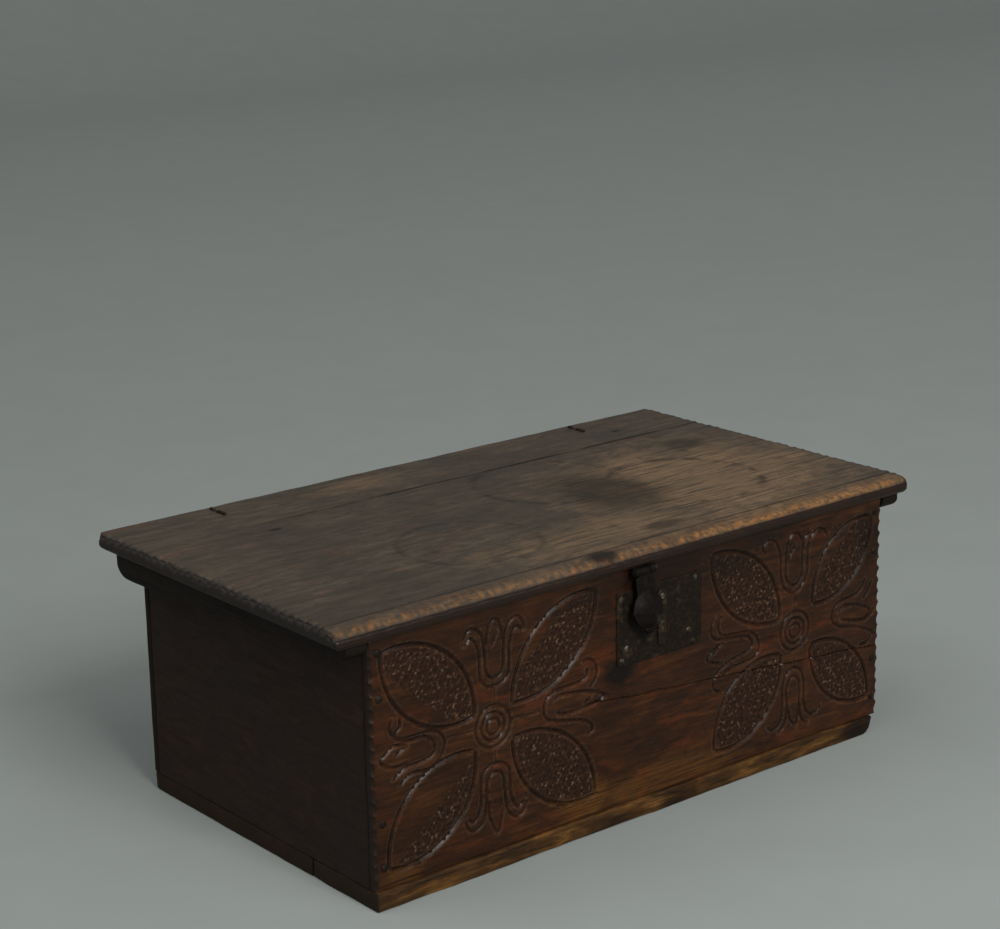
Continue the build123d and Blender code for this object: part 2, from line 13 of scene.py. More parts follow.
import bpy
import numpy as np
from mathutils import Matrix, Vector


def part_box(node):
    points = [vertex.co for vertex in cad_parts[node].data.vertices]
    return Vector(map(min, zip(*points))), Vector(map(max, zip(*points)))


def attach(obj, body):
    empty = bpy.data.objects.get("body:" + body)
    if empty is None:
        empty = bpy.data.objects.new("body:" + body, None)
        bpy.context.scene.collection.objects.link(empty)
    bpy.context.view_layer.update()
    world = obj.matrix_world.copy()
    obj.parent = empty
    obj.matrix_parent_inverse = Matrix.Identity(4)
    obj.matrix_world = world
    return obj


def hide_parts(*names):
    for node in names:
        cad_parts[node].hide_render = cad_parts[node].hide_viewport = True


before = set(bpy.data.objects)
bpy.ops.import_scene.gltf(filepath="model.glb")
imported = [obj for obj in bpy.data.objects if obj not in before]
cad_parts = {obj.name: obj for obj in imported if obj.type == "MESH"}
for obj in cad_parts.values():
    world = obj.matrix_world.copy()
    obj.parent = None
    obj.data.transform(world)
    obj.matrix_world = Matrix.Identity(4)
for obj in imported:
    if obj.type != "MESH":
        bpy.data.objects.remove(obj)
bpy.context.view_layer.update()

Array = np.ndarray
Pair = tuple[float, float]
Triple = Tone = tuple[float, float, float]
Shape = Sequence[Pair]
Socket, Material, Piece = bpy.types.NodeSocket, bpy.types.Material, bpy.types.Object

MM = 0.001
TINY = 1e-9
STEEP = 0.02
LOG = logging.getLogger("bible_box")


# ------------------------------------------------------------------ numbers and shapes
def box_mm(node: str) -> tuple[Array, Array]:
    """The lowest and highest corner of a CAD node at rest, in millimetres."""
    low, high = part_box(node)
    return np.array(low) / MM, np.array(high) / MM


def smooth(value: Array, low: float, high: float) -> Array:
    """0 below low, 1 above high, and the cubic 3t^2 - 2t^3 between them."""
    t = np.clip((value - low) / (high - low), 0, 1)
    return t * t * (3 - 2 * t)


def bell(value: Array, middle: float, spread: float) -> Array:
    """A bell curve of height 1 about a middle value."""
    return np.exp(-(((value - middle) / spread) ** 2))


def ripple(p: Array, q: Array, seed: int, length: float, terms: int = 7) -> Array:
    """Smooth unevenness from about -1 to 1: the mean of sine waves in random directions.

    Args:
        p: First coordinate of each point, mm.
        q: Second coordinate of each point, mm.
        seed: Seed of the random directions and phases.
        length: Typical wavelength, mm.
        terms: How many waves are added.

    Returns:
        The unevenness at each point.
    """
    rng = np.random.default_rng(seed)
    angles = rng.uniform(0, 2 * np.pi, terms)
    numbers = 2 * np.pi / (length * rng.uniform(0.6, 1.7, terms))
    phases = rng.uniform(0, 2 * np.pi, terms)
    along = (np.multiply.outer(p, np.cos(angles) * numbers)
             + np.multiply.outer(q, np.sin(angles) * numbers))
    return np.sin(along + phases).sum(axis=-1) / math.sqrt(terms)


def curve_through(points: Shape, step: float = 1.0) -> Array:
    """A smooth line through a few points (Catmull-Rom: each span is the cubic whose slope at a
    point is half the chord between that point's neighbours).

    Args:
        points: The points to pass through, mm.
        step: Spacing of the returned points, mm.

    Returns:
        An (n, 2) array of points on the line.
    """
    knots = np.asarray(points, float)
    padded = np.vstack([2 * knots[0] - knots[1], knots, 2 * knots[-1] - knots[-2]])
    before, start, end, after = padded[:-3], padded[1:-2], padded[2:-1], padded[3:]
    count = max(2, int(np.ceil(np.linalg.norm(end - start, axis=1).max() / step)))
    t = np.linspace(0, 1, count, endpoint=False)[None, :, None]
    slope_in = (end - before)[:, None] / 2
    slope_out = (after - start)[:, None] / 2
    a, b = start[:, None], end[:, None]
    line = (a * (2 * t**3 - 3 * t**2 + 1) + b * (3 * t**2 - 2 * t**3)
            + slope_in * (t**3 - 2 * t**2 + t) + slope_out * (t**3 - t**2))
    return np.vstack([line.reshape(-1, 2), knots[-1]])


def ring_line(centre: Pair, radius: float) -> Array:
    """Points of a circle, the first repeated at the end."""
    angle = np.linspace(0, 2 * np.pi, 49)
    return np.asarray(centre) + radius * np.stack([np.cos(angle), np.sin(angle)], axis=1)


def even_lines(low: float, high: float, pitch: float) -> Array:
    """Evenly spaced lines from low to high, no further apart than the pitch."""
    return np.linspace(low, high, max(2, int(np.ceil((high - low) / pitch)) + 1))


def edge_lines(low: float, high: float, pitch: float, arris: float) -> Array:
    """Evenly spaced lines with two more inside each end, which a rounded arris needs."""
    inner = even_lines(low + arris, high - arris, pitch)
    return np.concatenate([[low, low + 0.35 * arris], inner, [high - 0.35 * arris, high]])


def merged_lines(*groups: Sequence[float]) -> Array:
    """Several groups of lines in order, without repeats."""
    return np.unique(np.round(np.concatenate([np.asarray(group, float) for group in groups]), 4))


def stepped_lines(low: float, high: float, steps: Sequence[float], gap: float, pitch: float) -> Array:
    """Lines by close steps from both ends, and evenly between the gaps inside them."""
    steps = np.array(steps)
    return merged_lines(low + steps, even_lines(low + gap, high - gap, pitch), high - steps)


def pairs(places: Sequence[float]) -> Array:
    """A close pair of lines at each place, for a cut with a steep side."""
    return np.add.outer(places, (-STEEP, STEEP)).ravel()


def with_fixed(lines: Array, fixed: Sequence[float], clear: float = 0.3) -> Array:
    """Lines with some fixed ones among them, less those that follow another too closely.

    Args:
        lines: The lines, mm.
        fixed: The lines that stay in any case, mm.
        clear: The least distance from a line to the next, mm.

    Returns:
        The places of the lines, rising.
    """
    lines = merged_lines(lines, fixed)
    apart = np.diff(lines, prepend=lines[0] - 1) > clear
    return lines[apart | np.isin(lines, np.round(fixed, 4))]


def rounded_off(points: Array, low: Array, high: Array, radius: float | Array) -> Array:
    """Round the corners or arrises of a block.

    A point in the zone of an arris goes onto an arc about the nearest point of a core that is
    smaller by the radius, and keeps its depth below the block's surface.

    Args:
        points: Points on or in the block, (..., axes), mm.
        low: The block's low corner, mm.
        high: The block's high corner, mm.
        radius: The radius, one for all or one for each point, mm.

    Returns:
        The moved points.
    """
    core = np.clip(points, low + radius, high - radius)
    off = points - core
    reach = np.abs(off).max(axis=-1, keepdims=True)
    length = np.linalg.norm(off, axis=-1, keepdims=True)
    return core + off * reach / np.maximum(length, TINY)


@dataclass
class Surface:
    """A closed surface: its points, its faces, and what is painted on its points."""

    points: Array  # (n, 3) array, mm
    faces: list  # lists of point numbers, each seen anticlockwise from outside
    paint: dict[str, Array] = field(default_factory=dict)  # values from 0 to 1 for a finish to read

    def as_object(self, name: str, crease: float = 50.0) -> Piece:
        """Put the surface into a mesh object that stands at the origin.

        Args:
            name: Name of the object and its mesh.
            crease: Edges that turn by more degrees than this stay sharp.

        Returns:
            The new object.
        """
        mesh = bpy.data.meshes.new(name)
        mesh.from_pydata((self.points * MM).tolist(), [], self.faces)
        for key, values in self.paint.items():
            layer = mesh.attributes.new(key, "FLOAT", "POINT")
            layer.data.foreach_set("value", np.asarray(values, np.float32))
        mesh.shade_smooth()
        mesh.set_sharp_from_angle(angle=math.radians(crease))
        mesh.update()
        piece = bpy.data.objects.new(name, mesh)
        bpy.context.scene.collection.objects.link(piece)
        return piece


def joined(parts: Sequence[Surface]) -> Surface:
    """Several closed surfaces as one."""
    starts = np.cumsum([0] + [len(part.points) for part in parts])
    faces = [[n + int(start) for n in face] for part, start in zip(parts, starts) for face in part.faces]
    return Surface(np.vstack([part.points for part in parts]), faces)


def turned_out(points: Array, faces: list) -> list:
    """The faces of a closed surface, all turned round if it is inside out.

    Its volume is a sixth of the sum, over fans of triangles, of a . (b x c).

    Args:
        points: The surface's points.
        faces: Its faces, as lists of point numbers.

    Returns:
        The faces, facing outwards.
    """
    fans = np.array([(face[0], b, c) for face in faces for b, c in zip(face[1:-1], face[2:])])
    a, b, c = (points[fans[:, n]] for n in range(3))
    inside_out = (a * np.cross(b, c)).sum() < 0
    return [face[::-1] for face in faces] if inside_out else faces


def tube_of_loops(loops: Array, closed: bool = False) -> Surface:
    """A closed surface through equal loops of points.

    Args:
        loops: (stations, points round, 3) array.
        closed: Whether the last loop joins the first; otherwise both ends get a flat face.

    Returns:
        The surface, facing outwards.
    """
    stations, around = loops.shape[:2]
    numbers = np.arange(stations * around).reshape(stations, around)
    wrapped = np.hstack([numbers, numbers[:, :1]])
    if closed:
        wrapped = np.vstack([wrapped, wrapped[:1]])
    faces = skin(wrapped).tolist()
    if not closed:
        faces += [numbers[0, ::-1].tolist(), numbers[-1].tolist()]
    points = loops.reshape(-1, 3)
    return Surface(points, turned_out(points, faces))


def skin(numbers: Array) -> Array:
    """Quads of a grid of point numbers, facing the cross product of columns and rows."""
    corners = [numbers[:-1, :-1], numbers[:-1, 1:], numbers[1:, 1:], numbers[1:, :-1]]
    return np.stack(corners, axis=-1).reshape(-1, 4)


def board_shell(u: Array, v: Array, w: Array, coarse: int = 1,
                full: tuple[int, int] = (0, 0)) -> tuple[Array, Array, list]:
    """The surface of a block, as a lattice of lines that is coarser on the face behind.

    The show face w[-1] and the edges keep every line. The back face w[0] keeps only some v lines
    between its end columns, and one polygon at each end joins the two spacings.

    Args:
        u: Lines along the board, rising.
        v: Lines across the board, rising.
        w: Lines through its thickness, rising.
        coarse: How many times fewer v lines the back face has.
        full: How many spacings at the low and the high end of the back face keep every v line.

    Returns:
        The lattice points (n, 3), each point's line numbers along u and v (n, 2), and the faces.
    """
    nu, nv, nw = len(u), len(v), len(w)
    i, j, k = np.indices((nu, nv, nw))
    used = (i == 0) | (i == nu - 1) | (j == 0) | (j == nv - 1) | (k == 0) | (k == nw - 1)
    rows = np.unique(np.append(np.arange(0, nv - 1, coarse), nv - 1))
    first, last = full[0], nu - 1 - full[1]
    if coarse > 1:
        used &= ~((k == 0) & (i > first) & (i < last) & ~np.isin(j, rows))
    number = np.full((nu, nv, nw), -1)
    number[used] = np.arange(used.sum())
    behind = number[:, :, 0]
    quads = [skin(number[0]), skin(number[-1].T), skin(number[:, 0].T), skin(number[:, -1]),
             skin(number[:, :, -1].T)]
    polygons = []
    if coarse > 1:
        quads += [skin(behind[: first + 1]), skin(behind[last:]), skin(behind[first + 1: last][:, rows])]
        polygons = [[*behind[first], *behind[first + 1, rows][::-1]],
                    [*behind[last - 1, rows], *behind[last][::-1]]]
    else:
        quads.append(skin(behind))
    faces = np.vstack(quads).tolist() + [[int(n) for n in polygon] for polygon in polygons]
    points = np.stack([u[i[used]], v[j[used]], w[k[used]]], axis=1)
    return points, np.stack([i[used], j[used]], axis=1), faces


class Side(Enum):
    """Which way a board shows its face, as the directions of its u, v and w."""

    FRONT = ("+x", "+z", "-y")
    BACK = ("-x", "+z", "+y")
    LEFT = ("-y", "+z", "-x")
    RIGHT = ("+y", "+z", "+x")
    TOP = ("+x", "+y", "+z")


@dataclass
class Placing:
    """How a board's own frame lies in the part's frame."""

    side: Side  # which way the show face looks
    low: Array  # lowest corner of the board in the part's frame, mm
    high: Array  # highest corner of the board in the part's frame, mm

    def __post_init__(self) -> None:
        """Work out the axis order, the signs and the ranges along u, v and w."""
        self.order = ["xyz".index(code[1]) for code in self.side.value]
        self.signs = np.array([1 if code[0] == "+" else -1 for code in self.side.value])
        ends = np.stack([self.low[self.order] * self.signs, self.high[self.order] * self.signs])
        self.u0, self.v0, self.back = ends.min(axis=0)
        self.u1, self.v1, self.face = ends.max(axis=0)
        self.thickness = self.face - self.back

    def in_part(self, points: Array) -> Array:
        """Points of the board's frame, in the part's frame."""
        placed = np.empty_like(points)
        placed[:, self.order] = (points + [0, 0, self.face]) * self.signs
        return placed

    def block(self) -> tuple[Array, Array]:
        """The block's low and high corners in the board's own frame."""
        return np.array([self.u0, self.v0, -self.thickness]), np.array([self.u1, self.v1, 0])


@dataclass
class Relief:
    """How a board's faces differ from flat ones, on the lattice of its u and v lines."""

    sunk: Array  # how far the show face is cut below flat, mm
    behind: Array  # how far the back face is cut in, mm
    shift: Array  # moves of the lattice points in the board's face, (nu, nv, 2), mm
    paint: dict[str, Array] = field(default_factory=dict)  # values from 0 to 1 that the finish reads


@dataclass(frozen=True)
class Nicks:
    """A row of scallops cut across an arris with a gouge."""

    pitch: float  # from one cut to the next, mm
    size: float  # width that the arris loses in the middle of a cut, both faces together, mm
    least: float = 1.2  # width that it loses between the cuts, mm
    skew: float = 0.0  # lean of the cuts, as movement along the arris for each mm away from it
    phase: float = 0.0  # where the first cut falls, in pitches
    seed: int = 3  # seed of the difference from cut to cut

    def loss(self, along: Array, inward: Array, down: Array) -> Array:
        """How far each point moves away from both faces of the arris.

        A cut is half an ellipse along the arris, and it planes the corner off at 45 degrees.

        Args:
            along: Place along the arris, mm.
            inward: Distance from the end face, mm.
            down: Distance below the show face, mm.

        Returns:
            The move along each of the two faces, mm.
        """
        turn = (along + self.skew * (inward - down)) / self.pitch + self.phase
        number = np.floor(turn).astype(int)
        vary = np.random.default_rng(self.seed).uniform(0.68, 1.12, 97)[number % 97]
        drift = np.random.default_rng(self.seed + 1).uniform(-0.05, 0.05, 97)[number % 97]
        bow = np.sqrt(np.clip(1 - ((turn - number - 0.5 + drift) / 0.47) ** 2, 0, 1))
        width = self.least + (self.size * vary - self.least) * bow
        return np.clip(width - inward - down, 0, None) / 2


@dataclass
class Board:
    """A hand-planed oak board with uneven faces and worn arrises."""

    node: str  # the CAD node that it stands for
    body: str  # the body that it moves with
    side: Side  # which way its show face looks
    slot: str  # the record's material slot
    pitch: Pair = (4.0, 4.0)  # spacing of its lattice along u and v, mm
    arris: float = 1.5  # radius of its worn arrises, mm
    uneven: float = 0.3  # height of the unevenness of its faces, mm
    seed: int = 1  # seed of its unevenness
    coarse: int = 1  # how many times coarser its back face is divided
    inner: bool = False  # whether the back face looks into the box
    # bruises on the show face, each as (u, v, radius, depth), mm
    dents: tuple[tuple[float, float, float, float], ...] = ()
    # depths of further lattice lines round the edges, for cuts in the arrises, mm
    levels: tuple[float, ...] = ()

    LASTING = ("ground", "edge")
    EDGE_WIDTH = 3.5

    def __post_init__(self) -> None:
        """Take the board's place from its CAD node."""
        self.place = Placing(self.side, *box_mm(self.node))

    def lines(self) -> tuple[Array, Array]:
        """The lattice lines along and across the board."""
        place = self.place
        return (edge_lines(place.u0, place.u1, self.pitch[0], self.arris),
                edge_lines(place.v0, place.v1, self.pitch[1], self.arris))

    def relief(self, u: Array, v: Array) -> Relief:
        """What is cut into the board's faces; a plain board has only its dents, each a bell.

        Args:
            u: Place along the board of each lattice point, (nu, nv), mm.
            v: Place across the board of each lattice point, (nu, nv), mm.

        Returns:
            The relief on the lattice.
        """
        sunk = np.zeros_like(u)
        for a, b, radius, depth in self.dents:
            sunk += depth * bell(np.hypot(u - a, 0.7 * (v - b)), 0, radius)
        end = np.minimum(u - self.place.u0, self.place.u1 - u)
        paint = {"hollow": np.clip(sunk, 0, 1), "edge": 1 - smooth(end, 0.3, self.EDGE_WIDTH)}
        return Relief(sunk, np.zeros_like(u), np.zeros(u.shape + (2,)), paint)

    def full_columns(self) -> tuple[int, int]:
        """How many spacings at each end of the back face keep every line."""
        return 0, 0

    def trim(self, points: Array) -> Array:
        """Last changes to the outline, in the board's own frame."""
        return points

    def limits(self, points: Array) -> tuple[Array, Array]:
        """The low and high corners of the block whose arrises are rounded, for each point."""
        low, high = self.place.block()
        return np.tile(low, (len(points), 1)), np.tile(high, (len(points), 1))

    def rounded(self, points: Array) -> Array:
        """Round every arris, by a radius that drifts along the board with wear.

        Args:
            points: Points in the board's own frame, mm.

        Returns:
            The moved points.
        """
        low, high = self.limits(points)
        wear = ripple(points[:, 0], points[:, 1] + points[:, 2], self.seed + 11, 45)
        radius = self.arris * np.clip(0.85 + 0.3 * wear, 0.3, 1.3)[:, None]
        return rounded_off(points, low, high, radius)

    def wobbled(self, points: Array) -> Array:
        """Lower each face by a smooth unevenness that is nowhere above the flat face.

        Args:
            points: Points in the board's own frame, mm.

        Returns:
            The moved points.
        """
        low, high = self.place.block()
        share = (points - low) / (high - low)
        moved = points.copy()
        for axis in range(3):
            p, q = points[:, (axis + 1) % 3], points[:, (axis + 2) % 3]
            for end, weight in ((1, share[:, axis]), (-1, 1 - share[:, axis])):
                seed = self.seed * 13 + axis * 5 + int(end > 0)
                lift = 0.5 + 0.3 * ripple(p, q, seed, 120) + 0.12 * ripple(p, q, seed + 2, 34)
                moved[:, axis] -= end * weight * self.uneven * np.clip(lift, 0, 1.3)
        return moved

    def inward(self, points: Array, axis: int, sign: float) -> Array:
        """How far points lie in from the high end of an axis, or from the low one where sign is -1."""
        low, high = self.place.block()
        end = high[axis] if sign > 0 else low[axis]
        return np.clip(sign * (end - points[:, axis]), 0, None)

    def planed(self, points: Array, axis: int, sign: float, loss: Array, way: float = -1.0) -> None:
        """Take the same loss off both faces of an arris; way is 1 at the back face, else -1."""
        points[:, axis] -= sign * loss
        points[:, 2] += way * loss

    def worn_under(self, points: Array, arrises: Sequence[tuple[int, float, float | Array]]) -> None:
        """Wear arrises of the back face off at 45 degrees: axis, sign and width over both faces."""
        up = np.clip(points[:, 2] + self.place.thickness, 0, None)
        for axis, sign, width in arrises:
            loss = np.clip(width - self.inward(points, axis, sign) - up, 0, None) / 2
            self.planed(points, axis, sign, loss, 1)

    def surface(self) -> Surface:
        """The finished board.

        The face is the flat one less what is sunk, the back is the flat one less what is cut
        in behind, and every point between them keeps its share of the thickness.

        Returns:
            The closed surface in the part's frame.
        """
        u, v = self.lines()
        depth = self.place.thickness
        skin_lines = np.array([0, 0.35 * self.arris, self.arris])
        w = merged_lines(skin_lines - depth, -skin_lines, -np.array(self.levels, float))
        points, at, faces = board_shell(u, v, w, self.coarse, self.full_columns())
        relief = self.relief(*np.meshgrid(u, v, indexing="ij"))
        at_line = at[:, 0], at[:, 1]
        paint = {key: values[at_line] for key, values in relief.paint.items()}
        inside = points[:, 2] < -0.5 * depth
        for key, values in paint.items():
            values[inside & (key not in self.LASTING)] = 0
        if self.inner:
            middle = ((at > 0) & (at < (len(u) - 1, len(v) - 1))).all(axis=1)
            paint["inner"] = (inside & middle & (relief.behind[at_line] == 0)).astype(float)
        points = self.wobbled(self.rounded(points))
        share = (points[:, 2] + depth) / depth
        bottom = relief.behind[at_line] - depth
        points[:, 2] = bottom + share * (-relief.sunk[at_line] - bottom)
        points[:, :2] += relief.shift[at_line] * share[:, None]
        return Surface(self.place.in_part(self.trim(points)), faces, paint)

    def build(self, finish: Material) -> Piece:
        """Make the board, paint it and let it stand for its CAD node."""
        piece = self.surface().as_object(self.node + "_oak")
        return fitted(piece, finish, self.body, self.slot, self.node)


def fitted(piece: Piece, finish: Material, body: str, slot: str,
           *nodes: str) -> Piece:
    """Give a piece its finish and let it stand for CAD nodes on their body.

    Args:
        piece: The piece, in place.
        finish: Its material.
        body: The body that it moves with.
        slot: The record's material slot; not used.
        nodes: The CAD nodes that it stands for.

    Returns:
        The same piece.
    """
    piece.data.materials.append(finish)
    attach(piece, body)
    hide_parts(*nodes)
    LOG.info("%s: %d faces on %s", piece.name, len(piece.data.polygons), body)
    return piece


# ------------------------------------------------------------------ the carved front
@dataclass(frozen=True)
class Gouge:
    """One cut of a carving tool."""

    line: Array  # the points of its centreline on the face, (n, 2), mm
    width: float = 5.0  # width of the cut at the surface, mm
    depth: float = 1.9  # depth along its middle, mm
    run_out: float = 6.0  # length over which an open end comes up to the surface, mm

    def nearest(self, points: Array) -> tuple[Array, Array, Array]:
        """The nearest place on the centreline.

        Args:
            points: Points on the face, (n, 2), mm.

        Returns:
            The way from each point to the line (n, 2), its length, and how deep the tool goes
            at that place, from 0 at an open end to 1.
        """
        start, step = self.line[:-1], np.diff(self.line, axis=0)
        size = np.linalg.norm(step, axis=1)
        along = np.concatenate([[0], np.cumsum(size)])
        t = ((points[:, None] - start) * step).sum(axis=2) / size**2
        t = np.clip(t, 0, 1)
        ways = start + t[..., None] * step - points[:, None]
        far = np.linalg.norm(ways, axis=2)
        best = far.argmin(axis=1)
        row = np.arange(len(points))
        place = along[best] + t[row, best] * size[best]
        if np.allclose(self.line[0], self.line[-1]):
            force = np.ones(len(points))
        else:
            force = np.sqrt(smooth(np.minimum(place, along[-1] - place), -0.6, self.run_out))
        return ways[row, best], far[row, best], force


@dataclass(frozen=True)
class Leaf:
    """A leaf between two circular arcs."""

    root: Pair  # the tip by the flower's middle, mm
    tip: Pair  # the outer tip, mm
    belly: float  # how far each arc stands off the line between the tips, mm
    bare: float = 0.0  # side that isn't punched: -1 right of the way from root to tip, 1 left of it
    line: float = 0.0  # how far off the middle line the bare part starts, towards its side, mm

    def arcs(self) -> list[tuple[Array, float, Array]]:
        """The centre, radius and points of both arcs.

        An arc of sagitta s over a chord 2h has the radius (h^2 + s^2) / 2s.

        Returns:
            Centre, radius and points of each.
        """
        a, b = np.array(self.root), np.array(self.tip)
        half = np.linalg.norm(b - a) / 2
        way = (b - a) / (2 * half)
        radius = (half**2 + self.belly**2) / (2 * self.belly)
        turn = np.linspace(-1, 1, 61) * math.asin(half / radius)
        found = []
        for sign in (-1, 1):
            out = sign * np.array([-way[1], way[0]])
            centre = (a + b) / 2 - out * (radius - self.belly)
            arc = centre + radius * (np.outer(np.sin(turn), way) + np.outer(np.cos(turn), out))
            found.append((centre, radius, arc))
        return found

    def punching(self, points: Array) -> Array:
        """How much each point is punched: 1, and 0 past the line where the bare part starts."""
        way = np.subtract(self.tip, self.root) / np.linalg.norm(np.subtract(self.tip, self.root))
        off = (points - np.array(self.root)) @ np.array([-way[1], way[0]])
        return 1 - abs(self.bare) * smooth(self.bare * off, self.line - 4, self.line + 4)

    def inside(self, points: Array) -> Array:
        """How far inside both arcs each point lies, negative outside, mm."""
        depths = [radius - np.linalg.norm(points - centre, axis=-1) for centre, radius, _ in self.arcs()]
        return np.minimum(*depths)


@dataclass(frozen=True)
class Tulip:
    """A tulip drawn by formula: two nested cups whose lobes curl outwards, and a bud."""

    nose: Pair  # the bottom of the outer cup, mm
    up: float  # 1 where it grows upwards, -1 where it hangs
    half: float  # half the width of the outer cup, mm
    length: float  # length from the nose to the lobes, mm
    pointed: bool  # whether the bud ends in a point instead of a round head

    OUTER = ((0, 0), (0.55, 0.03), (0.93, 0.15), (1, 0.33), (1, 0.52), (1.18, 0.72), (1.54, 0.83),
             (1.94, 0.73))
    INNER = ((0, 0.13), (0.35, 0.16), (0.57, 0.28), (0.62, 0.5), (0.7, 0.72), (0.88, 0.87),
             (1.3, 0.97), (1.77, 0.95), (2.15, 0.75))
    ROUND_BUD = ((-0.52, 0.62), (-0.45, 0.85), (-0.1, 1.03), (0.3, 1), (0.52, 0.82), (0.55, 0.65))
    VEIN = ((-0.2, 0.62), (0.2, 0.85))
    POINTED_BUD = ((-0.42, 0.55), (-0.45, 0.8), (-0.2, 1), (0.1, 1.12), (0.3, 0.95), (0.42, 0.75))

    def placed(self, shape: Shape) -> list[Pair]:
        """Points given in half widths and lengths, as millimetres on the face."""
        x, z = self.nose
        return [(x + a * self.half, z + self.up * b * self.length) for a, b in shape]

    def lines(self) -> list[list[Pair]]:
        """The points of each line of the tulip."""
        bud = [self.POINTED_BUD] if self.pointed else [self.ROUND_BUD, self.VEIN]
        cups = [[(-a, b) for a, b in cup[:0:-1]] + list(cup) for cup in (self.OUTER, self.INNER)]
        return [self.placed(shape) for shape in cups + bud]


@dataclass(frozen=True)
class FlowerPattern:
    """The carver's drawing of one flower, for a board 660 mm wide."""

    centre: Pair  # the middle of the rings
    leaves: tuple[Leaf, ...]  # the four punched leaves
    tulips: tuple[Tulip, ...]  # the tulips drawn by formula
    drawn: tuple[tuple[Pair, ...], ...]  # other lines, each by the few points that it passes through
    stems: tuple[tuple[Pair, Pair], ...]  # straight cuts from the rings to the cups


LEFT_FLOWER = FlowerPattern(
    centre=(-191.5, 142),
    leaves=(Leaf((-213, 158), (-317, 242), 34, 1, 14), Leaf((-169, 159), (-65, 246), 31, 1, 17),
            Leaf((-213, 124), (-314, 37), 34, -1, -4), Leaf((-169, 124), (-68, 40), 31.5)),
    tulips=(Tulip((-189, 181), 1, 17.5, 62, False), Tulip((-190, 105), -1, 17.5, 61, True)),
    drawn=(
        ((-298, 180), (-298, 170), (-304, 163), (-296, 158), (-280, 157), (-263, 157), (-252, 151),
         (-248, 142), (-251, 132), (-258, 124), (-267, 121), (-284, 122), (-293, 119), (-301, 113)),
        ((-307, 180), (-309, 170), (-303, 160), (-288, 154), (-270, 153), (-262, 148), (-259, 141),
         (-263, 133), (-275, 130), (-292, 129), (-308, 121)),
        ((-289, 149), (-303, 153), (-314, 148), (-320, 141), (-306, 133), (-288, 132)),
        ((-306, 143), (-290, 149)),
        ((-78, 172), (-77, 164), (-84, 159), (-100, 158), (-116, 157), (-127, 152), (-131, 142),
         (-127, 132), (-112, 126), (-92, 122), (-78, 117), (-71, 110), (-73, 105), (-80, 104)),
        ((-84, 177), (-76, 179), (-68, 174), (-65, 163), (-70, 153), (-76, 151)),
        ((-119, 147), (-112, 151), (-96, 150), (-76, 147), (-55, 138), (-70, 133), (-90, 131),
         (-108, 132), (-117, 137)),
        ((-82, 136), (-72, 140)),
    ),
    stems=(((-214, 144), (-247, 145)), ((-170, 144), (-132, 142)), ((-190, 164), (-190, 181)),
           ((-190, 120), (-190, 106))),
)

RIGHT_FLOWER = FlowerPattern(
    centre=(204, 141),
    leaves=(Leaf((182, 158), (86, 246), 30), Leaf((229, 164), (315, 241), 28, 1, 16),
            Leaf((184, 120), (91, 40), 32), Leaf((227, 120), (315, 43), 28)),
    tulips=(),
    drawn=(
        ((101, 181), (96, 176), (96, 166), (102, 160), (116, 158), (136, 156), (147, 150), (152, 141),
         (152, 132), (144, 126), (128, 124), (110, 122), (100, 118)),
        ((91, 182), (87, 178), (85, 168), (89, 160), (100, 156), (120, 154), (136, 151), (143, 142),
         (138, 136), (124, 133), (110, 130), (96, 124), (89, 116), (90, 106), (101, 100)),
        ((104, 152), (92, 149), (80, 140), (90, 134), (102, 131)),
        ((88, 143), (97, 150)),
        ((308, 175), (303, 165), (292, 159), (272, 157), (262, 152), (259, 142), (263, 134), (276, 128),
         (294, 124), (310, 118), (322, 112)),
        ((304, 152), (312, 158), (318, 170)),
        ((268, 145), (276, 150), (292, 149), (308, 143), (316, 138), (313, 132), (303, 130), (285, 133),
         (270, 138)),
        ((322, 140), (318, 132), (306, 128)),
        ((300, 102), (314, 103), (319, 110), (327, 109)),
        ((162, 232), (157, 237), (162, 244), (171, 244), (178, 237), (182, 222), (183, 202), (189, 189),
         (202, 182), (215, 189), (221, 202), (221, 220), (225, 234), (234, 242), (243, 241), (251, 231)),
        ((190, 230), (190, 215), (190, 202), (195, 193), (203, 190), (210, 194), (213, 204), (213, 222),
         (217, 236), (226, 243)),
        ((190, 228), (193, 238), (200, 245), (208, 243), (215, 232)),
        ((192, 218), (198, 226), (203, 234)),
        ((164, 46), (174, 40), (184, 46), (187, 62), (187, 82), (191, 94), (203, 101), (214, 95),
         (218, 82), (219, 62), (222, 50), (230, 43), (240, 46), (244, 51)),
        ((180, 35), (190, 41), (194, 58), (193, 78), (197, 89), (203, 92), (209, 88), (212, 78),
         (212, 60), (216, 42), (226, 35)),
        ((196, 58), (199, 46), (207, 37), (209, 48), (210, 58)),
    ),
    stems=(((182, 142), (152, 142)), ((227, 142), (259, 142)), ((203, 163), (202, 182)),
           ((204, 119), (204, 101))),
)


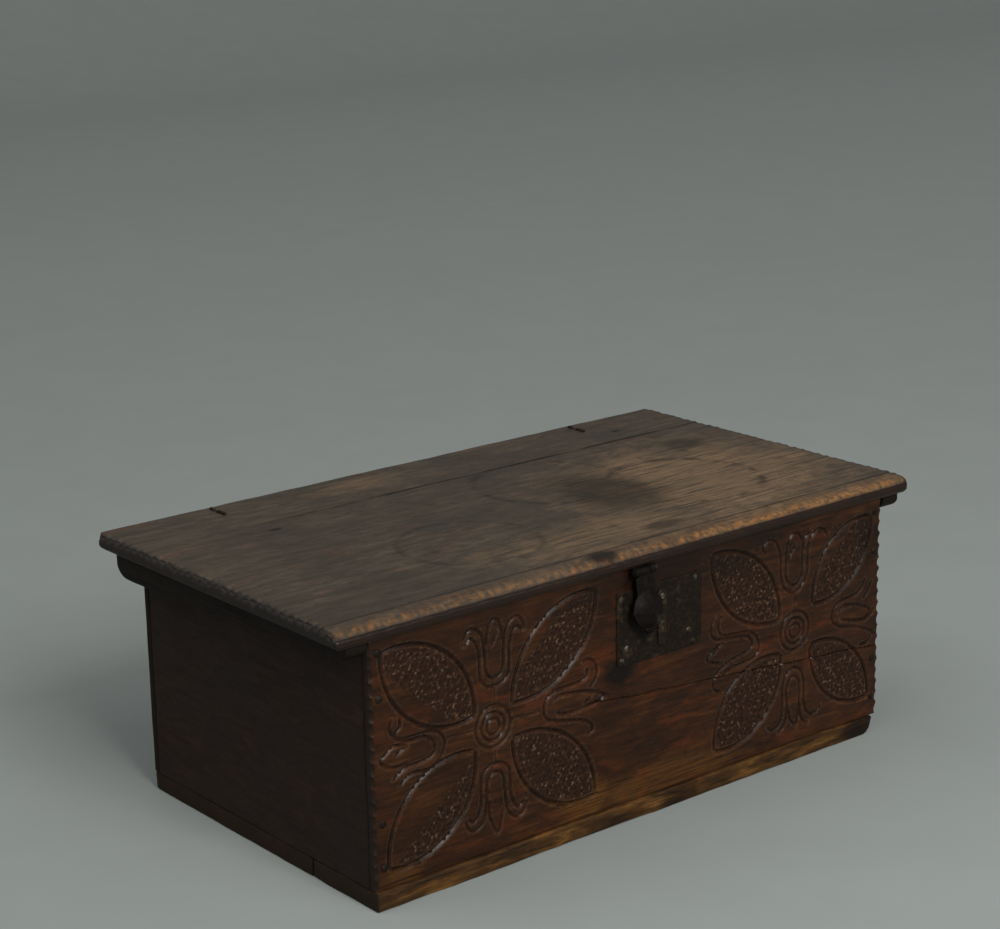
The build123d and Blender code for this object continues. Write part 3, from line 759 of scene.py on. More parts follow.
@dataclass
class CarvedFront(Board):
    """The front board: two scratch-carved flowers, punched leaves, a crack and nicked arrises."""

    fine: float = 1.26  # lattice spacing where there is carving, mm
    drawn_width: float = 660.0  # width of the board that the patterns are drawn for, mm
    # radii of the rings in each flower's middle, mm on the drawing
    rings: tuple[float, ...] = (20.5, 13.5, 7.5)
    # places of the small ring punches, on the drawing
    punches: tuple[Pair, ...] = ((148, 241), (262, 240), (79, 243), (-66, 246))
    # points of the crack, on the drawing
    crack: tuple[Pair, ...] = ((-119, 139), (-55, 131), (100, 117), (215, 106.5), (332, 96))
    fields: tuple[Pair, ...] = ((-323, -49), (75, 328))  # the carved stretches of u, on the drawing
    lip: float = 8.0  # thickness of the lips that cover the end boards, mm
    lip_width: float = 19.0  # width of those lips, mm
    # corners (u, v) of the pit behind the lock plate and its depth, mm
    mortise: tuple[float, float, float, float, float] = (-25.0, 48.5, 171.0, 214.1, 12.0)
    # the stretch of the top edge that is let down for the hasp strap, and how far
    strap_bed: Triple = (-22.9, 3.9, 2.2)
    nicks: Nicks = Nicks(11.75, 4.4, 1.6, 0.25, 0.55)  # the cuts down both front corners
    levels: tuple[float, ...] = (1.9, 2.9, 4.2)
    pit_depth: float = 1.3  # depth of the deepest punch marks, mm
    pit_spacing: float = 5.0  # from one punch mark to the next, mm

    EDGE_LINES = np.array([0, 0.5, 1.1, 1.9, 2.8, 3.9, 5.2])

    def drawn(self, points: Shape) -> Array:
        """Points of the drawing as millimetres on this board."""
        width = self.place.u1 - self.place.u0
        return np.asarray(points, float) * width / self.drawn_width

    def lines(self) -> tuple[Array, Array]:
        """Lattice lines: fine over the carving, wide apart elsewhere, and pairs at steps.

        Returns:
            The lines along u and those along v.
        """
        place, edge, fine = self.place, self.EDGE_LINES, self.fine
        (a0, a1), (b0, b1) = self.drawn(self.fields)
        low, high = self.drawn(((0, 34), (0, 250)))[:, 1]
        u = merged_lines(place.u0 + edge, even_lines(a0, a1, fine), even_lines(a1, b0, 6),
                         even_lines(b0, b1, fine), place.u1 - edge)
        v = merged_lines(place.v0 + edge[:5], even_lines(place.v0 + 3.2, low, 3.2),
                         even_lines(low, high, fine), even_lines(high, place.v1 - 2.9, 2.5),
                         place.v1 - edge[:5])
        lips = place.u0 + self.lip_width, place.u1 - self.lip_width
        steps = [lips[0] - STEEP, *lips, lips[1] + STEEP, *pairs(self.mortise[:2] + self.strap_bed[:2])]
        return with_fixed(u, steps), with_fixed(v, [*pairs(self.mortise[2:4]), place.v1 - self.strap_bed[2]])

    def full_columns(self) -> tuple[int, int]:
        """The back keeps every line as far as the foot of the lips' steps."""
        u, _ = self.lines()
        low = np.searchsorted(u, self.place.u0 + self.lip_width - 1e-3)
        high = np.searchsorted(u, self.place.u1 - self.lip_width - 1e-3)
        return int(low), int(len(u) - 1 - high)

    def gouges(self) -> list[Gouge]:
        """Every line cut of the two flowers.

        Returns:
            The cuts, in millimetres on this board.
        """
        cuts = []
        for flower in (LEFT_FLOWER, RIGHT_FLOWER):
            shapes = [line for tulip in flower.tulips for line in tulip.lines()] + list(flower.drawn)
            arcs = [arc for leaf in flower.leaves for _, _, arc in leaf.arcs()]
            cuts += [Gouge(self.drawn(arc), 6.2, 2.2, 4) for arc in arcs]
            cuts += [Gouge(self.drawn(curve_through(shape))) for shape in shapes]
            cuts += [Gouge(self.drawn(ring_line(flower.centre, radius)), 5, 1.8) for radius in self.rings]
            cuts += [Gouge(self.drawn(stem), 3.6, 1, 3) for stem in flower.stems]
        return cuts + [Gouge(self.drawn(ring_line(centre, 3.4)), 2.8, 1.1) for centre in self.punches]

    def carved(self, grid: Array) -> tuple[Array, Array]:
        """Cut every gouge line.

        A cut is a V whose depth falls evenly to nothing at half its width. The lattice points
        near it move onto lines at 0, a half and the whole of that half width, so that the
        bottom and the lips of the V run along edges of the mesh.

        Args:
            grid: Places of the lattice points on the face, (nu, nv, 2), mm.

        Returns:
            The depth (nu, nv) and the moves in the face (nu, nv, 2), mm.
        """
        depth, shift = np.zeros(grid.shape[:2]), np.zeros(grid.shape)
        nearness = np.full(grid.shape[:2], np.inf)
        for cut in self.gouges():
            half = cut.width / 2
            low, high = cut.line.min(axis=0) - cut.width, cut.line.max(axis=0) + cut.width
            at = np.nonzero(((grid > low) & (grid < high)).all(axis=2))
            ways, far, force = cut.nearest(grid[at])
            level = np.round(np.clip(far / half, 0, 1.45) * 2) / 2
            moved = far + 0.8 * (level * half - far)
            profile = np.clip(1 - moved / half, 0, 1)
            new = cut.depth * force * (profile**1.1 * 0.93 + 0.07 * (far < 1.2 * half))
            touched = far < 1.24 * half
            closer = touched & (far < nearness[at]) & (force > 0.2)
            step = ways * ((far - moved) / np.maximum(far, 1e-6))[:, None]
            near = at[0][closer], at[1][closer]
            nearness[near], shift[near] = far[closer], step[closer]
            depth[at] = np.maximum(depth[at], np.where(touched, new, 0))
        return depth, shift

    def punched(self, grid: Array) -> tuple[Array, Array, Array]:
        """Sink the leaves a little and punch their ground.

        The punch marks stand on a lattice with random offsets. A mark is deepest at one lattice
        point and shallow at that point's neighbours.

        Args:
            grid: Places of the lattice points on the face, (nu, nv, 2), mm.

        Returns:
            The depth (nu, nv), mm, and from 0 to 1 how much of a leaf and of a punch mark each
            point is.
        """
        on_drawing = grid / self.drawn(((1, 1),))[0, 0]
        leaf, share, marks = np.zeros((3, *grid.shape[:2]))
        for shape in LEFT_FLOWER.leaves + RIGHT_FLOWER.leaves:
            within = smooth(shape.inside(on_drawing), 1.5, 5)
            leaf = np.maximum(leaf, within)
            share = np.maximum(share, within * shape.punching(on_drawing))
        rng = np.random.default_rng(23)
        low, high, pitch = grid[0, 0], grid[-1, -1], self.pit_spacing
        a, b = np.meshgrid(np.arange(low[0], high[0], pitch), np.arange(low[1], high[1], pitch * 0.87),
                           indexing="ij")
        a = a + 0.5 * pitch * (np.arange(b.shape[1]) % 2) + rng.uniform(-1.1, 1.1, a.shape)
        b = b + rng.uniform(-1, 1, b.shape)
        column = np.searchsorted(grid[:, 0, 0], a.ravel()).clip(1, grid.shape[0] - 2)
        row = np.searchsorted(grid[0, :, 1], b.ravel()).clip(1, grid.shape[1] - 2)
        marks[column, row] = rng.uniform(0.45, 1, column.size)
        spread = sum(np.roll(marks, way, axis) for axis in (0, 1) for way in (-1, 1))
        slant = sum(np.roll(marks, way, (0, 1)) for way in ((1, 1), (-1, 1), (1, -1), (-1, -1)))
        pits = share * np.maximum(marks, np.maximum(0.72 * spread, 0.36 * slant).clip(0, 1))
        rough = 0.5 + 0.5 * ripple(grid[..., 0], grid[..., 1], 8, 9)
        return leaf * (0.25 + 0.15 * rough) + self.pit_depth * pits, share, np.clip(1.3 * pits, 0, 1)

    def cracked(self, grid: Array) -> tuple[Array, Array, Array]:
        """Open the crack: a narrow V whose lower lip lies a little proud of the upper one.

        Args:
            grid: Places of the lattice points on the face, (nu, nv, 2), mm.

        Returns:
            The depth (nu, nv), the moves across the crack (nu, nv), mm, and the painted shade along its
            bottom.
        """
        line, along = self.drawn(self.crack), grid[..., 0]
        path = np.interp(along, line[:, 0], line[:, 1]) + 0.5 * ripple(along, 0 * along, 4, 40)
        start = smooth(along, line[0, 0], line[0, 0] + 60)
        off = grid[..., 1] - path
        step = np.round(np.clip(np.abs(off) / self.fine, 0, 4))
        near = np.interp(step, [0, 1, 2, 3, 4], [0, 0.55, 1.8, 3.2, 4.4])
        move = np.where(step < 4, np.sign(off) * near - off, 0) * start
        # painted shade along the crack's bottom
        dark = start * (step < 0.5)
        lowered = smooth(off, 0, 0.5) * (1 - smooth(off, 2, 14))
        return 1.5 * dark + 0.35 * start * lowered, move, dark

    def relief(self, u: Array, v: Array) -> Relief:
        """The carving, the crack, the lock's pit, the strap's bed and the lips behind.

        Args:
            u: Places along the board, mm.
            v: Places across the board, mm.

        Returns:
            The relief on the lattice.
        """
        place = self.place
        grid = np.stack([u, v], axis=2)
        carved, shift = self.carved(grid)
        punched, leaf, pits = self.punched(grid)
        split, across, dark = self.cracked(grid)
        shift[..., 1] = np.where((across != 0) & (dark + split > 0.01), across, shift[..., 1])
        sunk = np.maximum(carved, punched * (1 - 0.7 * smooth(carved, 0, 0.6))) + split
        u_low, u_high, v_low, v_high, pit = self.mortise
        in_pit = (u > u_low) & (u < u_high) & (v > v_low) & (v < v_high)
        from_end = np.minimum(u - place.u0, place.u1 - u)
        behind = np.where(from_end < self.lip_width - STEEP / 2, place.thickness - self.lip, 0)
        chance = np.random.default_rng(29).uniform(0, 1, u.shape)
        ground = leaf * (carved < 0.4)
        # Painted glints on scattered rims of the punched ground, and on the cuts' lips wear with a painted
        # highlight.
        painted_rim_glints = ground * np.clip(1 - 2.2 * pits, 0, 1) * smooth(chance, 0.8, 0.97)
        lips = (carved > 0.05) & (carved < 0.35)
        paint = super().relief(u, v).paint
        # The paint of hollows is dirt and painted shade in the cuts, and painted shade along the crack; pit
        # is painted shade in the punch marks.
        paint.update(hollow=np.clip(0.8 * (carved / 2) ** 1.4 + dark, 0, 1), ground=ground,
                     pit=0.7 * pits, worn=np.maximum(painted_rim_glints, 0.25 * lips * (0.4 + 0.6 * chance)))
        return Relief(np.where(in_pit, pit, sunk), behind, shift, paint)

    def trim(self, points: Array) -> Array:
        """Nick both front corners from top to bottom, and let the top down for the strap.

        Args:
            points: Points in the board's own frame, mm.

        Returns:
            The same points, moved.
        """
        low, high, bed = self.strap_bed
        in_bed = (points[:, 0] > low) & (points[:, 0] < high)
        points[in_bed, 1] = np.minimum(points[in_bed, 1], self.place.v1 - bed)
        down = np.clip(-points[:, 2], 0, None)
        for sign in (-1, 1):
            self.planed(points, 0, sign, self.nicks.loss(points[:, 1], self.inward(points, 0, sign), down))
        return points


# ------------------------------------------------------------------ the lid
@dataclass
class LidBoard(Board):
    """A lid board with gouge nicks along both ends and chipped joint edges."""

    nicks: Nicks = Nicks(11.3, 8.2, 2.8, 0.55, 0.3, 7)  # the cuts along the two ends
    chips: Nicks = Nicks(5.2, 2.4, 0.7, 0.4, 0.1, 17)  # the small chips along the chipped edges
    chipped: tuple[int, ...] = (1,)  # which long edges are chipped: -1 the front one, 1 the rear one
    smooth_front: float = 0.0  # width along the front edge that the nicks leave out, mm
    right_share: float = 0.3  # how large the right end's cuts are beside the left end's
    tight: Pair = (-290.0, -120.0)  # the stretch of x over which the joint goes from tight to open, mm
    under: Pair = (4.4, 3.0)  # width that the lower arrises of the ends and of the front have lost, mm
    levels: tuple[float, ...] = (2.2, 3.6, 5.2, 7.0, 9.0, 11.4, 13.0)
    # radii that the corners are worn to in plan: front left, front right, rear left and rear right, mm
    corners: tuple[float, float, float, float] = (0.0, 0.0, 7.0, 6.0)

    EDGE_WIDTH = 7
    END_LINES = (0, 0.6, 1.3, 2.1, 3, 4, 5.2, 6.6, 8.2)
    EDGE_LINES = (0, 0.4, 0.9, 1.5, 2.2)
    TIGHT_GAP = 0.15
    END_SHIFT = 40

    def lines(self) -> tuple[Array, Array]:
        """Lattice lines: close together at the nicked ends and the chipped edges."""
        place = self.place
        return (stepped_lines(place.u0, place.u1, self.END_LINES, 10.4, self.pitch[0]),
                stepped_lines(place.v0, place.v1, self.EDGE_LINES, 3.4, self.pitch[1]))

    def limits(self, points: Array) -> tuple[Array, Array]:
        """The joint's edges stay sharp towards the left end, where the joint is tight.

        Args:
            points: Points in the board's own frame, mm.

        Returns:
            The low and high corners for each point.
        """
        low, high = super().limits(points)
        tight = 4 * (1 - smooth(points[:, 0], *self.tight))
        for sign in self.chipped:
            if sign > 0:
                high[:, 1] += tight
            else:
                low[:, 1] -= tight
        return low, high

    def relief(self, u: Array, v: Array) -> Relief:
        """Dents, with dirt painted along the joint.

        Args:
            u: Places along the board, mm.
            v: Places across the board, mm.

        Returns:
            The relief on the lattice.
        """
        relief = super().relief(u, v)
        for sign in self.chipped:
            off = self.place.v1 - v if sign > 0 else v - self.place.v0
            broken = np.clip(0.9 + 0.3 * ripple(u, 0 * v, self.seed + 40, 60), 0, 1)
            dirt = broken * smooth(u, *self.tight) * (1 - smooth(off, 1, 2.6))
            relief.paint["hollow"] = np.maximum(relief.paint["hollow"], dirt)
        return relief

    def trim(self, points: Array) -> Array:
        """Wear the lower arrises, cut the nicks and the chips, close the tight stretch of the
        joint, and wear the corners onto quarter circles in plan.

        Args:
            points: Points in the board's own frame, mm.

        Returns:
            The same points, moved.
        """
        place = self.place
        down = np.clip(-points[:, 2], 0, None)
        fade = smooth(points[:, 1] - place.v0, self.smooth_front - 3, self.smooth_front + 2)
        front = [] if -1 in self.chipped else [(1, -1, self.under[1])]
        self.worn_under(points, [(0, -1, self.under[0]), (0, 1, self.under[0]), *front])
        for sign, share in ((-1, 1), (1, self.right_share)):
            along = points[:, 1] + self.END_SHIFT * (sign + 1)
            loss = self.nicks.loss(along, self.inward(points, 0, sign), down)
            self.planed(points, 0, sign, loss * share * fade)
        opened = smooth(points[:, 0], *self.tight)
        for sign in self.chipped:
            inward = self.inward(points, 1, sign)
            loss = self.chips.loss(points[:, 0], inward, np.clip(-points[:, 2], 0, None)) * opened
            closed = (1 - opened) * (1 - smooth(inward, 0.7, 4))
            points[:, 1] += sign * closed * (inward + self.TIGHT_GAP)
            self.planed(points, 1, sign, loss)
        for radius, (side, way) in zip(self.corners, ((-1, -1), (1, -1), (-1, 1), (1, 1))):
            if radius:
                low = np.where((side < 0, way < 0), (place.u0, place.v0), -np.inf)
                high = np.where((side > 0, way > 0), (place.u1, place.v1), np.inf)
                points[:, :2] = rounded_off(points[:, :2], low, high, radius)
        return points


@dataclass
class MouldedLidBoard(LidBoard):
    """The wide lid board: a groove and a worn thumbnail moulding run along its front edge."""

    # height of the board's top at distances from the front edge, as (distance, height), mm
    profile: tuple[Pair, ...] = (
        (0, 7.4), (0.5, 8.4), (1.1, 9.1), (1.8, 9.3), (2.4, 8.5), (2.9, 8.4), (3.4, 9.4), (4.2, 10.3),
        (5.5, 11.4), (7, 12.4), (9, 13.3), (11.5, 14.1), (14, 14.6), (17, 14.9), (20, 15.05), (22.5, 15.1),
        (23.6, 15), (24.2, 14.1), (25.2, 13.8), (26.2, 14), (26.8, 15.2), (28, 15.5))

    def lines(self) -> tuple[Array, Array]:
        """The lid's lattice lines, with one on each point of the moulding's profile.

        Returns:
            The lines along u and those along v.
        """
        u, v = super().lines()
        front = self.place.v0 + np.array([distance for distance, _ in self.profile])
        v = merged_lines(front, v[v > front[-1] + 0.8])
        return u, v

    def relief(self, u: Array, v: Array) -> Relief:
        """The moulding, its wear, painted shade in its hollows and on its lower front edge, and the dents.

        The moulding's height is read off the profile. Its crown is worn in short stretches by
        a ripple along the edge.

        Args:
            u: Places along the board, mm.
            v: Places across the board, mm.

        Returns:
            The relief on the lattice.
        """
        relief = super().relief(u, v)
        paint = relief.paint
        distance = v - self.place.v0
        places, heights = np.array(self.profile).T
        cut = self.place.thickness - np.interp(distance, places, heights)
        crown = bell(distance, 7, 4.6)
        chew = np.clip(0.3 + 0.4 * ripple(u, 0.5 * v, 31, 17), 0, 1)
        nose = bell(distance, 1.2, 1.2) * np.clip(ripple(u, 0 * v, 33, 26), 0, 1)
        relief.sunk = relief.sunk + cut + 0.45 * crown * chew + 0.8 * nose
        # The groove gets dirt and painted shade; the quirk and the lower lip get painted shade.
        groove = smooth(distance, 23.2, 24.4) * (1 - smooth(distance, 26, 27.2))
        quirk_shade = bell(distance, 2.8, 0.8)
        lip = 0.65 * (1 - smooth(distance, 1.6, 2.6)) * (0.6 + 0.4 * ripple(u, 0 * v, 37, 22))
        paint["hollow"] = np.clip(paint["hollow"] + groove + quirk_shade + lip, 0, 1)
        flat = smooth(distance, 10, 13) * (1 - smooth(distance, 21, 23.5))
        golden = 0.3 + 0.4 * smooth(u, -120, 160) + 0.25 * ripple(u, 0.6 * v, 35, 6)
        rubbed = smooth(distance, 2.2, 3.8) * crown * (1.1 - 0.5 * chew) + 0.25 * flat
        paint["worn"] = golden * np.clip(rubbed, 0, 1)
        # The lower front edge takes the ground tone as painted shade.
        paint["ground"] = 1 - smooth(distance, 2, 3)
        return relief


@dataclass
class Cleat(Board):
    """A batten under a lid end: deep and rounded at the back, shallow along the front."""

    front_depth: float = 14.0  # depth below the lid along the front, mm
    deep_length: float = 65.0  # length of the deep stretch at the back, mm
    taper: float = 120.0  # length of the slope between the two depths, mm
    front_round: float = 11.0  # radius of the lower front corner, mm
    rear_round: float = 16.0  # radius of the lower rear corner, mm

    CORNER_LINES = (0, 0.3, 0.8, 1.6, 2.8, 4.4, 6.5, 9, 12)

    def lines(self) -> tuple[Array, Array]:
        """Lattice lines: closer together round both lower corners."""
        place = self.place
        return (stepped_lines(place.u0, place.u1, self.CORNER_LINES, 16, self.pitch[0]),
                edge_lines(place.v0, place.v1, self.pitch[1], self.arris))

    def trim(self, points: Array) -> Array:
        """Give the lower edge its outline.

        The depth below the lid slopes from the front to the rear one as a smooth cubic. At a
        rounded corner of radius r it is less by r - sqrt(r^2 - (r - d)^2) at the distance d.

        Args:
            points: Points in the board's own frame, mm.

        Returns:
            The same points, moved.
        """
        place = self.place
        full = place.v1 - place.v0
        ends = points[:, 0] - place.u0, place.u1 - points[:, 0]
        to_rear, to_front = ends if self.side is Side.LEFT else ends[::-1]
        slope = smooth(to_rear, self.deep_length, self.deep_length + self.taper)
        depth = full + (self.front_depth - full) * slope
        for radius, distance in ((self.rear_round, to_rear), (self.front_round, to_front)):
            left = np.clip(radius - distance, 0, radius)
            depth = depth - (radius - np.sqrt(radius**2 - left**2))
        points[:, 1] = place.v1 - (place.v1 - points[:, 1]) * depth / full
        return points


# ------------------------------------------------------------------ other boards
@dataclass
class BackBoard(Board):
    """The back board, notched at the top for the hinge eyes."""

    hinge_spacing: float = 450.0  # from one hinge to the other, mm
    notch_half: float = 2.3  # half the width of a notch, mm
    notch_drop: float = 15.3  # how far a notch reaches below the rim, mm
    notch_depth: float = 4.8  # how deep it is, mm
    lip: float = 8.0  # thickness of the lips that cover the end boards, mm
    lip_width: float = 19.0  # width of those lips, mm

    def lines(self) -> tuple[Array, Array]:
        """Lattice lines with a pair at each side of each notch and at the lips' steps.

        Returns:
            The lines along u and those along v.
        """
        place = self.place
        u, v = super().lines()
        sides = [place.u0 + self.lip_width, place.u1 - self.lip_width]
        sides += [middle + way for middle in (-self.hinge_spacing / 2, self.hinge_spacing / 2)
                  for way in (-self.notch_half, self.notch_half)]
        return with_fixed(u, pairs(sides)), with_fixed(v, pairs([place.v1 - self.notch_drop]))

    def relief(self, u: Array, v: Array) -> Relief:
        """The two notches and the steps behind the lips.

        Args:
            u: Places along the board, mm.
            v: Places across the board, mm.

        Returns:
            The relief on the lattice.
        """
        relief = super().relief(u, v)
        off = np.abs(np.abs(u) - self.hinge_spacing / 2)
        notch = (off < self.notch_half) & (v > self.place.v1 - self.notch_drop)
        relief.sunk = np.where(notch, self.notch_depth, relief.sunk)
        lipped = np.abs(u) > self.place.u1 - self.lip_width
        relief.behind = np.where(lipped, self.place.thickness - self.lip, 0)
        return relief


@dataclass
class BaseBoard(Board):
    """A base board; its floor shows inside the box."""

    room: Pair = (291.0, 158.0)  # half length and half depth of the floor that shows inside, mm
    worn_corner: float = 0.0  # what the lower right corner has lost, mm

    def relief(self, u: Array, v: Array) -> Relief:
        """Paint the floor inside the walls.

        Args:
            u: Places along the board, mm.
            v: Places across the board, mm.

        Returns:
            The relief on the lattice.
        """
        relief = super().relief(u, v)
        indoors = (np.abs(u) < self.room[0]) & (np.abs(v) < self.room[1])
        relief.paint["inner"] = indoors.astype(float)
        return relief

    def trim(self, points: Array) -> Array:
        """Wear away the lower corner of the right end."""
        width = self.worn_corner * (1 + 0.25 * ripple(points[:, 1], 0 * points[:, 1], 5, 30))
        self.worn_under(points, [(0, 1, width)])
        return points


# ------------------------------------------------------------------ ironwork
class Forging:
    """A forged piece that stands for one CAD node."""

    NODE: str
    BODY = "box"
    CREASE = 42.0

    def surface(self) -> Surface:
        """The closed surface in the part's frame."""
        raise NotImplementedError

    def build(self, finish: Material) -> Piece:
        """Make the piece and fix it to its body."""
        piece = self.surface().as_object(self.NODE + "_iron", self.CREASE)
        return fitted(piece, finish, self.BODY, "wrought_iron", self.NODE)


@dataclass
class LockPlate(Forging):
    """The thin lock plate: a forged outline, a slot for the staple and a keyhole."""

    pitch: float = 2.0  # lattice spacing, mm
    corner: float = 4.0  # radius of the plate's corners, mm
    # the staple's slot, as x low, x high, z low, z high, mm
    slot: tuple[float, float, float, float] = (-12.0, -7.0, 194.73, 208.91)
    # middle and radius of the keyhole's round part, as x, z, radius, mm
    keyhole: Triple = (15.5, 186.0, 3.2)
    # the keyhole's slit, as x low, x high, z low, z high, mm
    slit: tuple[float, float, float, float] = (14.0, 17.0, 175.0, 186.0)
    hammered: float = 0.22  # depth of the hammer marks, mm

    NODE = "lock_plate"
    CREASE = 35.0

    def lines(self, low: float, high: float, cuts: Sequence[float], fine: Pair) -> Array:
        """Lattice lines from edge to edge, with one on each cut and close ones at the keyhole.

        Args:
            low: The plate's low edge, mm.
            high: Its high edge, mm.
            cuts: Sides of the holes, mm.
            fine: The stretch beside the keyhole, mm.

        Returns:
            The lines, rising.
        """
        base = stepped_lines(low, high, (0, 0.35, 0.9), 1.8, self.pitch)
        base = base[(base < fine[0] - 0.5) | (base > fine[1] + 0.5)]
        lines = merged_lines(base, even_lines(*fine, 0.62))
        return with_fixed(lines, cuts, 0.2)

    def pierced(self, x: Array, z: Array) -> Array:
        """Whether each place is inside one of the holes."""
        gone = np.hypot(x - self.keyhole[0], z - self.keyhole[1]) < self.keyhole[2]
        for low_x, high_x, low_z, high_z in (self.slot, self.slit):
            gone |= (x > low_x) & (x < high_x) & (z > low_z) & (z < high_z)
        return gone

    def outline(self, face: Array, low: Array, high: Array) -> Array:
        """Round the corners onto quarter circles, and draw the edge in and out by a ripple.

        Args:
            face: Places on the face, (..., 2), mm.
            low: The plate's low corner, mm.
            high: Its high corner, mm.

        Returns:
            The moved places.
        """
        way = face - (low + high) / 2
        share = (np.abs(way) / ((high - low) / 2)).max(axis=-1, keepdims=True)
        drift = 0.35 + 0.35 * ripple(face[..., 0], face[..., 1], 51, 24)[..., None]
        worn = np.clip(smooth(share, 0.9, 1) * drift, 0, 0.8)
        return rounded_off(face, low, high, self.corner) - np.sign(way) * worn

    def surface(self) -> Surface:
        """The plate: two lattice faces without the pierced cells, and a wall round every edge.

        A lattice point between a kept and a pierced cell moves onto the keyhole's circle where
        it is near it.

        Returns:
            The closed surface.
        """
        low, high = box_mm(self.NODE)
        middle, radius = np.array(self.keyhole[:2]), self.keyhole[2]
        cuts = self.slot[:2] + self.slit[:2], self.slot[2:] + self.slit[2:3]
        u, v = (self.lines(low[axis], high[axis], cuts[n], (middle[n] - 4.2, middle[n] + 4.2))
                for n, axis in enumerate((0, 2)))
        face = np.stack(np.meshgrid(u, v, indexing="ij"), axis=-1)
        centre = (face[:-1, :-1] + face[1:, 1:]) / 2
        kept = np.pad(~self.pierced(centre[..., 0], centre[..., 1]), 1)
        off = np.linalg.norm(face - middle, axis=-1)
        around = sum(kept[i: i + len(u), j: j + len(v)].astype(int) for i in (0, 1) for j in (0, 1))
        rim = (around > 0) & (around < 4) & (np.abs(off - radius) < 0.75) & (face[..., 1] > middle[1] - 2.6)
        face[rim] = middle + (face[rim] - middle) * radius / off[rim][:, None]
        edge = np.minimum(face - low[[0, 2]], high[[0, 2]] - face).min(axis=-1)
        face = self.outline(face, low[[0, 2]], high[[0, 2]])
        x, z = face[..., 0], face[..., 1]
        dip = self.hammered * np.clip(0.5 + 0.5 * ripple(x, z, 53, 13), 0, 1)
        front = np.stack([x, low[1] + dip + 0.4 * (1 - smooth(edge, 0, 0.9)), z], axis=-1)
        back = np.stack([x, np.full_like(x, high[1]), z], axis=-1)
        inner = kept[1:-1, 1:-1]
        quads = skin(np.arange(x.size).reshape(x.shape)).reshape(*inner.shape, 4)[inner]
        sides = np.vstack([quads[:, [n, (n + 1) % 4]] for n in range(4)])
        alone = ~np.isin(sides @ (1, x.size), sides @ (x.size, 1))
        walls = np.hstack([sides[alone], sides[alone][:, ::-1] + x.size])
        used, number = np.unique(np.vstack([quads[:, ::-1], quads + x.size, walls]), return_inverse=True)
        points = np.vstack([front.reshape(-1, 3), back.reshape(-1, 3)])[used]
        return Surface(points, turned_out(points, number.reshape(-1, 4).tolist()))


@dataclass
class Strip:
    """A forged strip carried along a line in a plane of constant x."""

    line: Array  # (stations, 2) places (y, z) of the back face's middle, mm
    half: Array  # half the width at each station, mm
    middle: float  # the strip's x, mm
    thick: Array  # thickness at each station and place across, (stations, across), mm
    round_over: float = 0.7  # radius of its long edges, mm

    def surface(self) -> Surface:
        """The strip: at each station a loop runs over the face and back along the rear.

        The face stands off the line along its normal, which is the line's direction turned a
        quarter towards the front.

        Returns:
            The closed surface.
        """
        step = np.gradient(self.line, axis=0)
        step /= np.linalg.norm(step, axis=1, keepdims=True)
        normal = np.stack([step[:, 1], -step[:, 0]], axis=1)
        across = np.linspace(-1, 1, self.thick.shape[1])
        r, half, edge = self.round_over, self.half[:, None], self.thick[:, -1:]
        flat = np.clip(half - r, 0.2, None)
        side = np.hstack([half - 0.3 * r, half, half, half - 0.3 * r])
        up = np.hstack([edge - 0.3 * r, edge - r, 0 * half + r, 0 * half + 0.3 * r])
        x = np.hstack([flat * across, side, flat * across[::-1], -side])
        off = np.hstack([self.thick, up, np.zeros_like(self.thick), up[:, ::-1]])
        yz = self.line[:, None] + normal[:, None] * off[..., None]
        return tube_of_loops(np.concatenate([(self.middle + x)[..., None], yz], axis=2))


